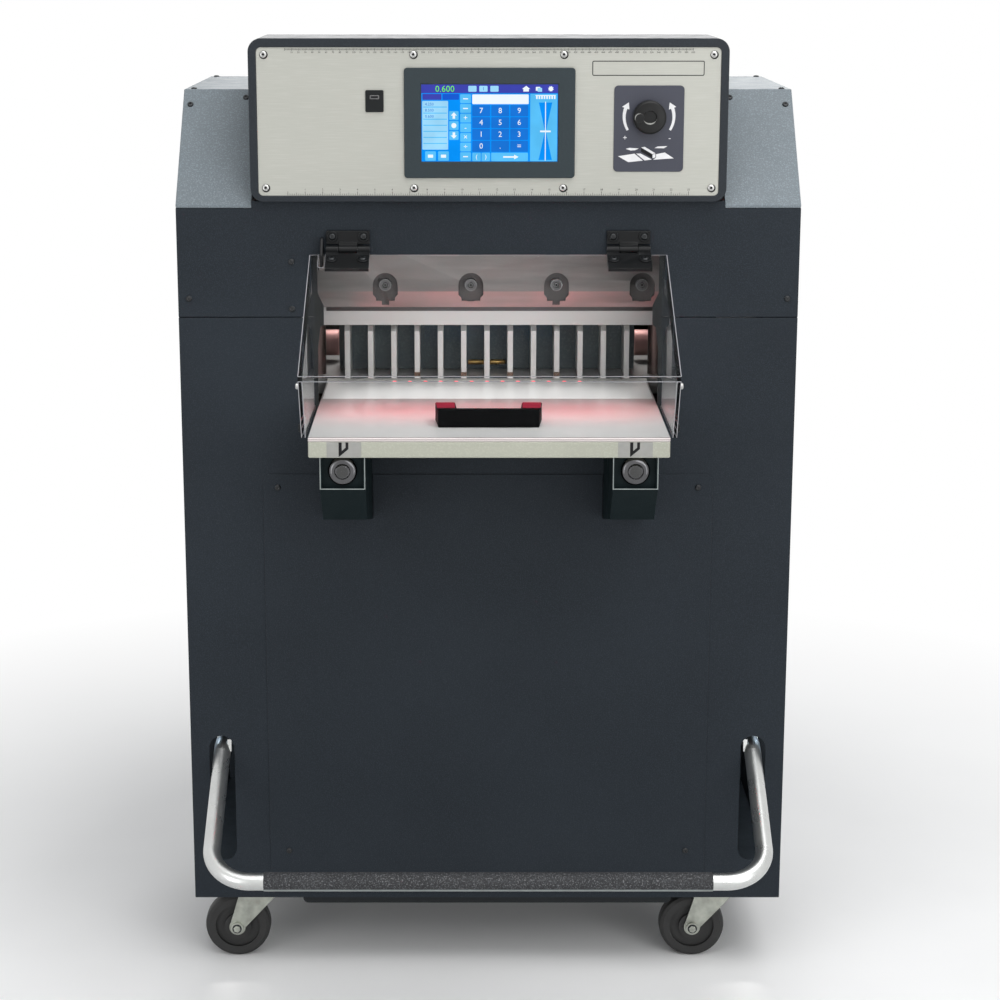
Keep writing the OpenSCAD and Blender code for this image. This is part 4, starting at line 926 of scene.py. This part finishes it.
def screen_rect(ink, u0, v0, u1, v1, layer, radius=1.2):
    x0, z1 = on_screen(u0, v0)
    x1, z0 = on_screen(u1, v1)
    screen_slab(ink, rounded(x0, x1, z0, z1, radius, 3), layer)


def screen_wheel(ink, u, v, radii, layer):
    """A round shape with the given radii, in millimetres, at even angles."""
    turns = [2 * math.pi * i / len(radii) for i in range(len(radii))]
    outline = [polar(*on_screen(u, v), radius, turn) for radius, turn in zip(radii, turns)]
    screen_slab(ink, outline, layer)


def screen_text(ink, text, u, v, size, layer, align="CENTER"):
    x, z = on_screen(u, v)
    depth = GLASS_FRONT - (layer - 0.5) * LAYER
    merge(picture[ink], words_mesh(text, size, x, depth, z, LAYER / 2, align))


picture = {key: bmesh.new() for key in SCREEN_INK}
screen_rect("blue", 0.004, 0.006, 0.996, 0.994, 1, 0.4)
screen_rect("bar", 0.004, 0.006, 0.996, 0.115, 2, 0.4)
screen_rect("bar", 0.012, 0.125, 0.150, 0.200, 2)
screen_rect("deep", 0.158, 0.125, 0.278, 0.200, 2)
screen_text("green", "0.600", 0.175, 0.064, 12.5, 3)
for u in (0.345, 0.425, 0.505):
    screen_rect("pale", u, 0.022, u + 0.060, 0.098, 3)
screen_text("deep", "1", 0.455, 0.060, 6.5, 4)
# a house, two sheets and a wheel of teeth
HOUSE = [
    (0.735, 0.062), (0.765, 0.022), (0.795, 0.062), (0.785, 0.062), (0.785, 0.095),
    (0.745, 0.095), (0.745, 0.062),
]
screen_shape("white", HOUSE, 3)
screen_rect("white", 0.835, 0.035, 0.868, 0.085, 3, 0.6)
screen_rect("pale", 0.848, 0.048, 0.881, 0.098, 4, 0.6)
screen_wheel("white", 0.945, 0.060, [3.0, 3.0, 3.9, 3.9] * 8, 3)
# list panel with ruled lines, and its two keys
screen_rect("pale", 0.010, 0.215, 0.198, 0.840, 2)
for row in range(1, 8):
    v = 0.215 + row * 0.078
    screen_rect("cyan", 0.018, v - 0.006, 0.190, v + 0.006, 3, 0.3)
for row, length in enumerate(("4.250", "8.500", "0.600")):
    screen_text("key", length, 0.030, 0.258 + row * 0.078, 5.6, 4, "LEFT")
for u in (0.030, 0.125):
    screen_rect("cyan", u, 0.862, u + 0.078, 0.984, 2)
    screen_rect("white", u + 0.020, 0.905, u + 0.058, 0.945, 3, 0.5)
# arrow keys
for row, kind in enumerate(("up", "ring", "down")):
    v = 0.345 + row * 0.128
    screen_rect("cyan", 0.206, v, 0.274, v + 0.114, 2)
    middle = v + 0.057
    if kind == "ring":
        screen_wheel("white", 0.240, middle, [3.6] * 20, 3)
        continue
    way = -1 if kind == "up" else 1
    arrow = (
        (-0.022, 0.0), (0.0, 0.042), (0.022, 0.0), (0.009, 0.0), (0.009, -0.040),
        (-0.009, -0.040), (-0.009, 0.0),
    )
    screen_shape("white", [(0.240 + du, middle + way * dv) for du, dv in arrow], 3)
# sign keys
for row, sign in enumerate(("", "", "+", "-", "×", "÷", "")):
    v = 0.130 + row * 0.124
    screen_rect("cyan", 0.286, v, 0.364, v + 0.113, 2)
    if sign:
        screen_text("white", sign, 0.325, v + 0.056, 11.0, 3)
    else:
        screen_rect("white", 0.307, v + 0.050, 0.343, v + 0.064, 3, 0.4)
# entry bar and digit keys
screen_rect("white", 0.374, 0.132, 0.784, 0.255, 2)
for row, line in enumerate(("789", "456", "123", "0.=")):
    for column, mark in enumerate(line):
        u = 0.374 + column * 0.1385
        v = 0.270 + row * 0.152
        screen_rect("key", u, v, u + 0.130, v + 0.142, 2)
        screen_text("white", mark, u + 0.065, v + 0.071, 11.0, 3)
for u0, u1 in ((0.374, 0.436), (0.442, 0.504), (0.512, 0.781)):
    screen_rect("cyan", u0, 0.880, u1, 0.990, 2)
screen_text("white", "(", 0.405, 0.934, 8.5, 3)
screen_text("white", ")", 0.473, 0.934, 8.5, 3)
ENTER_ARROW = [
    (0.600, 0.925), (0.680, 0.925), (0.680, 0.905), (0.712, 0.935), (0.680, 0.965),
    (0.680, 0.945), (0.600, 0.945),
]
screen_shape("white", ENTER_ARROW, 3)
# gauge picture on the right
screen_rect("cyan", 0.796, 0.125, 0.992, 0.990, 2)
for i in range(8):
    u = 0.838 + i * 0.0185
    screen_rect("white", u, 0.150, u + 0.011, 0.190, 3, 0.3)
screen_rect("white", 0.834, 0.140, 0.980, 0.152, 3, 0.3)
screen_shape("blue", [(0.858, 0.235), (0.956, 0.235), (0.913, 0.585), (0.901, 0.585)], 3)
screen_shape("blue", [(0.901, 0.625), (0.913, 0.625), (0.956, 0.975), (0.858, 0.975)], 3)
screen_rect("white", 0.904, 0.225, 0.910, 0.980, 4, 0.2)
screen_rect("white", 0.868, 0.594, 0.946, 0.616, 4, 0.4)
for key, bm in picture.items():
    from_bmesh(f"screen_{key}_shapes", bm, SCREEN_INK[key], "root")

# cabinet screws

panel_screws("panel_screws", [
    (-286, 0, 1109), (-286, 0, 1040), (-436, 0, 1055), (436, 0, 1055),
    (-312, -1.5, 773), (312, -1.5, 773), (-305, -1.5, 199), (305, -1.5, 199),
])
# the shoulders' slope: where it starts, and its rise and run
SLOPE_FOOT, SLOPE_RISE, SLOPE_RUN = 1191, 157, 144
panel_screws(
    "shoulder_slope_screws",
    [
        (side * x, d, SLOPE_FOOT + d * SLOPE_RISE / SLOPE_RUN)
        for side in (-1, 1) for x, d in ((441, 124.4), (359, 133.3))
    ],
    (0, -SLOPE_RISE, SLOPE_RUN),
)
TOP_Z, BACK_D, SIDE_X = 1348, 510, 452
panel_screws(
    "top_screws",
    [
        (side * x, d, TOP_Z)
        for side in (-1, 1) for x, d in ((438, 152), (441, 495), (352, 495), (352, 152))
    ],
    (0, 0, 1),
)
panel_screws(
    "back_screws",
    [(side * x, BACK_D, z) for side in (-1, 1) for x in (436, 150) for z in (150, 1330)]
    + [(side * 436, BACK_D, z) for side in (-1, 1) for z in (540, 940)],
    BACKWARD,
)
for name, side in (("left", -1), ("right", 1)):
    places = [(side * SIDE_X, d, z) for d in (40, 255, 470) for z in (150, 760)]
    panel_screws(f"side_screws_{name}", places, (side, 0, 0))

# rear cover: a screwed flange against the back panel
cover_low, cover_high = (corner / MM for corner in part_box("rear_cover"))
COVER_D = cover_low.y - FRONT_Y
FLANGE, FLANGE_T = 16.0, 1.5
flange = bmesh.new()
for x0, x1, z0, z1 in (
    (cover_low.x - FLANGE, cover_high.x + FLANGE, cover_high.z, cover_high.z + FLANGE),
    (cover_low.x - FLANGE, cover_high.x + FLANGE, cover_low.z - FLANGE, cover_low.z),
    (cover_low.x - FLANGE, cover_low.x, cover_low.z, cover_high.z),
    (cover_high.x, cover_high.x + FLANGE, cover_low.z, cover_high.z),
):
    add_box(flange, (x0, COVER_D, z0), (x1, COVER_D + FLANGE_T, z1))
from_bmesh("rear_cover_flange", flange, cabinet_paint, "root")
panel_screws(
    "rear_cover_screws",
    [
        (x, COVER_D + FLANGE_T, z)
        for z in (cover_low.z - FLANGE / 2, cover_high.z + FLANGE / 2)
        for x in (cover_low.x, 0.0, cover_high.x)
    ],
    BACKWARD,
)

# hinges and guard

HINGE_X, HINGE_D, HINGE_Z = 203.0, -10.0, 1128.0
GUARD_SLOPE = math.atan2(129.0, 269.0)
SCREW_OUT = 22.5


def on_guard(x, along, up):
    """A point on the guard's slope, from the hinge axis down the slope and out of it."""
    return (
        x,
        HINGE_D - along * math.cos(GUARD_SLOPE) - up * math.sin(GUARD_SLOPE),
        HINGE_Z - along * math.sin(GUARD_SLOPE) + up * math.cos(GUARD_SLOPE),
    )


SLOPE_UP = (0, -math.sin(GUARD_SLOPE), math.cos(GUARD_SLOPE))
BOSS = [(8.2, 0), (8.2, 1.6), (7.4, 2.4), (5.6, 2.4), (5.2, 1.2), (0, 1.2)]
base_points = [
    (side * HINGE_X + x, -6.0, 1146.5) for side in (-1, 1) for x in (-SCREW_OUT, SCREW_OUT)
]
leaf_points = [
    on_guard(side * HINGE_X + x, 26.0, -0.35) for side in (-1, 1) for x in (-SCREW_OUT, SCREW_OUT)
]
for name, points, axis, body in (
    ("hinge_base", base_points, FORWARD, "root"), ("hinge_leaf", leaf_points, SLOPE_UP, "guard"),
):
    turned(f"{name}_bosses", BOSS, points, axis, hinge_plastic, body, sides=24)
    out = Vector(axis).normalized() * 1.2
    screws(
        f"{name}_screws", [(p[0], p[1] + out.y, p[2] + out.z) for p in points], dark_screw, body,
        5.0, 3.0, 2.4, 1.8, axis=axis,
    )

# painted highlights on the clear sheet's edges: a thin bright line at each corner of its cut faces
GUARD_X, GUARD_IN = 258.5, 252.5
GUARD_REAR, GUARD_TOP = -4.0, 1120.0
GUARD_BEND, GUARD_LIP, GUARD_LIP_Z = -12.0, -281.0, 983.0
GUARD_FRONT_Z, GUARD_FOOT, GUARD_FOOT_Z = 991.0, -233.0, 897.0
EDGE = 0.4
LINE = 0.9
edges = bmesh.new()
lean = Vector((GUARD_FOOT_Z - GUARD_LIP_Z, GUARD_LIP - GUARD_FOOT)).normalized() * EDGE
side_front = [
    (GUARD_LIP, GUARD_LIP_Z), (GUARD_FOOT, GUARD_FOOT_Z),
    (GUARD_FOOT + lean.x, GUARD_FOOT_Z + lean.y), (GUARD_LIP + lean.x, GUARD_LIP_Z + lean.y),
]
side_foot = [
    (GUARD_FOOT, GUARD_FOOT_Z), (GUARD_REAR, GUARD_FOOT_Z),
    (GUARD_REAR, GUARD_FOOT_Z - EDGE), (GUARD_FOOT, GUARD_FOOT_Z - EDGE),
]
slope_corner = [
    (GUARD_BEND, GUARD_TOP), (GUARD_BEND, GUARD_TOP + EDGE),
    (GUARD_LIP - EDGE, GUARD_FRONT_Z + EDGE), (GUARD_LIP, GUARD_FRONT_Z),
]
rear_line = [
    (GUARD_BEND, GUARD_TOP), (GUARD_BEND + LINE, GUARD_TOP),
    (GUARD_BEND + LINE, GUARD_TOP + EDGE), (GUARD_BEND, GUARD_TOP + EDGE),
]
for side in (-1, 1):
    for outline in (side_front, side_foot):
        add_prism(edges, outline, side * (GUARD_X - LINE), side * GUARD_X)
        add_prism(edges, outline, side * GUARD_IN, side * (GUARD_IN + LINE))
    add_prism(edges, slope_corner, side * (GUARD_X - LINE), side * (GUARD_X + EDGE / 2))
    add_prism(edges, rear_line, side * 236, side * GUARD_X)
add_prism(edges, rear_line, -170, 170)
for z in (GUARD_LIP_Z, GUARD_FRONT_Z - LINE):
    out = GUARD_LIP - EDGE
    lip_line = [(GUARD_LIP, z), (GUARD_LIP, z + LINE), (out, z + LINE), (out, z)]
    add_prism(edges, lip_line, -GUARD_X, GUARD_X)
# and a painted highlight line round the slot for the interlock strip
NOTCH_X, NOTCH_R, NOTCH_END, SHEET_TOP = -240.5, 4.5, 33.5, -6.35
track = [(-1.0, 0.0, 4.0)]
for i in range(13):
    turn = math.pi * i / 12
    track.append((-math.cos(turn), math.sin(turn), NOTCH_END))
track.append((1.0, 0.0, 4.0))
rings = []
for cross, run, base in track:
    corners = []
    for wide, lift in ((0.0, 0.0), (LINE, 0.0), (LINE, EDGE), (0.0, EDGE)):
        radius = NOTCH_R + wide
        point = on_guard(NOTCH_X + cross * radius, base + run * radius, SHEET_TOP + lift)
        corners.append(edges.verts.new(at(*point)))
    rings.append(corners)
for one, two in zip(rings, rings[1:]):
    for i in range(4):
        j = (i + 1) % 4
        edges.faces.new((one[i], one[j], two[j], two[i]))
for ring in (rings[0], rings[-1]):
    edges.faces.new(ring)
from_bmesh("guard_edge_highlights", edges, guard_edge_highlight, "guard")

turned(
    "guard_side_bolts",
    [(5.5, 0), (5.5, 1.0), (4.4, 1.2), (4.4, 3.2), (3.2, 4.4), (1.8, 4.4), (1.8, 3.0), (0, 3.0)],
    both_sides(GUARD_X, -262, 974), None, bright_screw, "guard",
)
turned(
    "guard_side_bumpers", [(6.5, 0), (6.5, 2.0), (5.0, 4.2), (0, 4.8)],
    both_sides(GUARD_X, -222, 908), None, black_plastic, "guard",
)

# table edge marks and button brackets

TABLE_TOP, TABLE_FRONT = 896.0, -233.0
face = bmesh.new()
add_box(face, (-247, 57, TABLE_TOP), (247, 196, TABLE_TOP + 0.15))
from_bmesh("table_bright_face", face, table_face, "root")
flanks = bmesh.new()
for side in (-1, 1):
    add_box(flanks, (side * 249.5, -230, 869), (side * 250.2, -4, 895.4))
from_bmesh("table_flank_strips", flanks, black_paint, "root")

MARK_FRONT = TABLE_FRONT - 0.25
marks = bmesh.new()
signs = bmesh.new()
for x in (-200.0, 201.5):
    add_slab(marks, rounded(x - 24, x + 24, 868.8, 890.2, 0.8), MARK_FRONT, TABLE_FRONT)
    outer = [(x - 7.3, 890.0), (x - 7.3, 869.3), (x + 6.2, 880.6), (x + 6.2, 890.0)]
    inner = [(x - 3.0, 890.0), (x - 3.0, 878.0), (x + 2.3, 882.6), (x + 2.3, 890.0)]
    for i in range(3):
        corners = [outer[i], outer[i + 1], inner[i + 1], inner[i]]
        add_slab(signs, corners, MARK_FRONT - 0.2, MARK_FRONT)
from_bmesh("table_edge_marks", marks, grey_print_and_highlight, "root")
from_bmesh("table_edge_signs", signs, black_print_and_shade, "root")

BUTTON_X = 203
RIM, RIM_LOW, RIM_HIGH, RIM_FRONT, RIM_BACK = 1.3, 821.5, 867.8, -225.3, -225.0
rims = bmesh.new()
for side in (-1, 1):
    x0, x1 = side * BUTTON_X - 31.5, side * BUTTON_X + 31.5
    for left, right, top in (
        (x0, x0 + RIM, RIM_HIGH), (x1 - RIM, x1, RIM_HIGH), (x0 + RIM, x1 - RIM, RIM_LOW + RIM),
    ):
        add_box(rims, (left, RIM_FRONT, RIM_LOW), (right, RIM_BACK, top))
from_bmesh("bracket_bare_edges", rims, bare_edge, "root")

# a polished dome over each collar, and a polished edge on each cap
COLLAR_DOME = [
    (11.3, 9.0), (11.3, 10.7), (14.0, 10.6), (15.8, 10.2), (17.4, 9.4), (18.7, 8.2), (19.7, 6.5),
    (20.2, 4.8), (20.3, 4.2), (19.8, 4.2), (15.0, 9.0), (11.3, 9.0),
]
CAP_RIM = [
    (8.0, 13.0), (8.0, 13.15), (8.7, 13.15), (9.8, 12.1), (10.45, 11.35), (10.45, 11.0), (8.0, 13.0)
]
buttons = both_sides(BUTTON_X, -216, 847)
for side, place in zip(("left", "right"), buttons):
    turned(
        f"{side}_cap_rim", CAP_RIM, [place], FORWARD, dark_chrome, BODY_OF[f"{side}_button_cap"],
        40, 32,
    )
turned("collar_domes", COLLAR_DOME, buttons, FORWARD, dark_chrome, "root", 50, 48)

# throat: black edging inside its sides
edging = bmesh.new()
for side in (-1, 1):
    add_box(edging, (side * 250.6, 0.2, 868), (side * 256.8, 2.8, 897))
    add_slab(
        edging,
        [(side * x, z) for x, z in (
            (256.8, 897), (249.6, 897), (249, 980), (245, 1012), (240, 1016), (240, 1044),
            (248.5, 1062), (248.5, 1116.5), (256.8, 1116.5),
        )],
        0.2, 2.8,
    )
from_bmesh("throat_edging", edging, black_plastic, "root")

# knife bolts: a bright washer rim, and a small head with a painted shade disc for the socket inside
BOLT_HEAD = [(0, -5.0), (3.7, -5.0), (3.7, -1.0), (3.0, -0.4), (0, -0.4)]
bolt_rims = bmesh.new()
bolt_socket_shade = bmesh.new()
for i in range(4):
    place = at(-157 + i * 131.7, 193, 1047)
    add_lathe(bolt_rims, place, FORWARD, flat_ring(7.9, 9.2, 0.2), 28)
    add_lathe(bolt_rims, place, FORWARD, BOLT_HEAD, 24)
    add_lathe(bolt_socket_shade, place, FORWARD, disc(1.9, -0.5, -0.2), 6)
from_bmesh("knife_bolt_rims", bolt_rims, washer_steel, BODY_OF["knife_bolts"], 35)
from_bmesh("knife_bolt_socket_shade", bolt_socket_shade, black_print_and_shade, BODY_OF["knife_bolts"])

# back gauge small parts

ROD = [
    (0, 0), (2.6, 0), (4.0, 2.0), (4.0, 26), (3.2, 27), (3.2, 31), (4.0, 32), (4.0, 58), (2.6, 60),
    (0, 60),
]
turned(
    "gauge_brass_rod", ROD, [(-30, 304.5, 908)], (1, 0, 0), brass, "gauge", 40, 28,
)

# copper rollers at each side of the gauge's path
ROLLER = [
    (0, 0), (18, 0), (21, 2.5), (21, 27), (19.8, 28), (19.8, 31), (21, 32), (21, 57), (19, 60.2),
    (0, 60.2),
]
turned(
    "gauge_side_rollers", ROLLER, both_sides(238, 380, 927), None, copper, "root",
    sides=36,
)

FOOT = [
    (238.4, 897.4), (239.4, 896.5), (246, 896.5), (246, 903), (239.4, 903), (238.4, 902),
]
feet = bmesh.new()
for i in (3, 5, 7, 9):
    x = (i - 6) * 36.5
    add_prism(feet, FOOT, x - 4.6, x + 4.6)
from_bmesh("finger_feet", feet, brown_pad, "gauge")

# red cut-line lamps under the light bar, and glowing red discs flush in the table at the cut as
# painted reflections of them

BAR_LAMP = [(2.0, 0), (2.0, 0.6), (1.4, 1.3), (0, 1.6)]
TABLE_REFLECTION_DOT = [(3.4, 0), (3.0, 0.15), (0, 0.25)]
lamps = bmesh.new()
for i in range(24):
    add_lathe(lamps, at(-207 + i * 18, 20.6, 1120), (0, 0, -1), BAR_LAMP, 12)
# painted reflections of the bar's lamps, glowing in the table
for i in range(13):
    add_lathe(lamps, at(-144 + i * 24, 201, TABLE_TOP), (0, 0, 1), TABLE_REFLECTION_DOT, 12)
from_bmesh("cut_line_lamps_and_reflections", lamps, red_lamp_and_reflection, "root", 60)

# treadle: a welded lug on the inner side of each arm, just inside the slot
lugs = bmesh.new()
for side in (-1, 1):
    add_prism(lugs, [(4, 358), (10, 357), (17, 372), (8, 376)], side * 397, side * 391)
from_bmesh("treadle_lugs", lugs, tube_zinc, "treadle")

# treadle: the tape leaves the tube bare low at the front
grip_low, grip_high = (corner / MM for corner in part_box("treadle_grip"))
grip_depth = (grip_low.y + grip_high.y) / 2 - FRONT_Y
grip_z = (grip_low.z + grip_high.z) / 2
grip_radius = (grip_high.z - grip_low.z) / 2
arc = [math.radians(-34 - 41 * i / 8) for i in range(9)]
bare = [
    (grip_depth - radius * math.cos(turn), grip_z + radius * math.sin(turn))
    for radius, turns in ((grip_radius + 0.3, arc), (grip_radius - 0.3, arc[::-1]))
    for turn in turns
]
strip = bmesh.new()
add_prism(strip, bare, grip_low.x, grip_high.x)
from_bmesh("grip_bare_strip", strip, bare_edge, "treadle", 30)

# castors: a hexagon nut in a dark ring on the front of each front axle
AXLE_NUT = [(5.6, -0.5), (5.6, 2.4), (4.6, 3.0), (2.6, 3.0), (2.6, 4.0), (0, 4.4)]
for side in ("left", "right"):
    fork_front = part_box(f"{side}_castor_fork")[0].y
    wheel_low, wheel_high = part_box(f"{side}_front_wheel")
    middle = (wheel_low + wheel_high) / 2
    place = Vector((middle.x, fork_front, middle.z))
    body = BODY_OF[f"{side}_castor_fork"]
    nut = bmesh.new()
    add_lathe(nut, place, FORWARD, AXLE_NUT, 6)
    from_bmesh(f"{side}_axle_nut", nut, castor_zinc, body)
    ring = bmesh.new()
    add_lathe(ring, place, FORWARD, flat_ring(5.0, 7.4, 0.2), 28)
    from_bmesh(f"{side}_axle_ring", ring, dark_screw, body)

# jogging block: painted red light from the cut-line lamps, as thin caps on the ends of its arms
BLOCK_TOP, CAP_THICK = 922.3, 0.4
ARM_END = ((47.5, -152), (72.5, -152), (75.2, -111), (48.4, -111))
caps = bmesh.new()
for side in (-1, 1):
    low, high = (
        [at(side * x, depth, z) for x, depth in ARM_END] for z in (BLOCK_TOP, BLOCK_TOP + CAP_THICK)
    )
    add_loft(caps, low, high)
from_bmesh("block_red_glow_caps", caps, painted_red_glow, BODY_OF["jogging_block"])

# floor

floor_mesh = bpy.data.meshes.new("floor")
bm = bmesh.new()
REACH = 9.0
corners = ((-REACH, -REACH), (REACH, -REACH), (REACH, REACH), (-REACH, REACH))
bm.faces.new([bm.verts.new((x, y, 0.0)) for x, y in corners])
bm.to_mesh(floor_mesh)
bm.free()
floor = bpy.data.objects.new("floor", floor_mesh)
scene.collection.objects.link(floor)
floor_material, tree, bsdf = new_material("pale_floor")
bsdf.inputs["Roughness"].default_value = 0.8
bsdf.inputs["Specular IOR Level"].default_value = 0.0
tree.links.new(
    mix(tree, spread(tree, noise(tree, 2.0), 0.0, 1.0), (0.90, 0.90, 0.90), (0.94, 0.94, 0.94)),
    bsdf.inputs["Base Color"],
)
# seen directly, in metal or through the guard, the floor fades into the white background
coords = tree.nodes.new("ShaderNodeTexCoord")
away = tree.nodes.new("ShaderNodeVectorMath")
away.operation = "LENGTH"
tree.links.new(coords.outputs["Object"], away.inputs[0])
fade = spread(tree, away.outputs["Value"], 0.0, 1.0, 0.75, 1.9)
share = arithmetic(tree, "MULTIPLY", background_rays(tree), fade)
backdrop = tree.nodes.new("ShaderNodeEmission")
blend = mix_shaders(tree, share, bsdf.outputs[0], backdrop.outputs[0])
tree.links.new(blend, tree.nodes["Material Output"].inputs["Surface"])
floor_mesh.materials.append(floor_material)
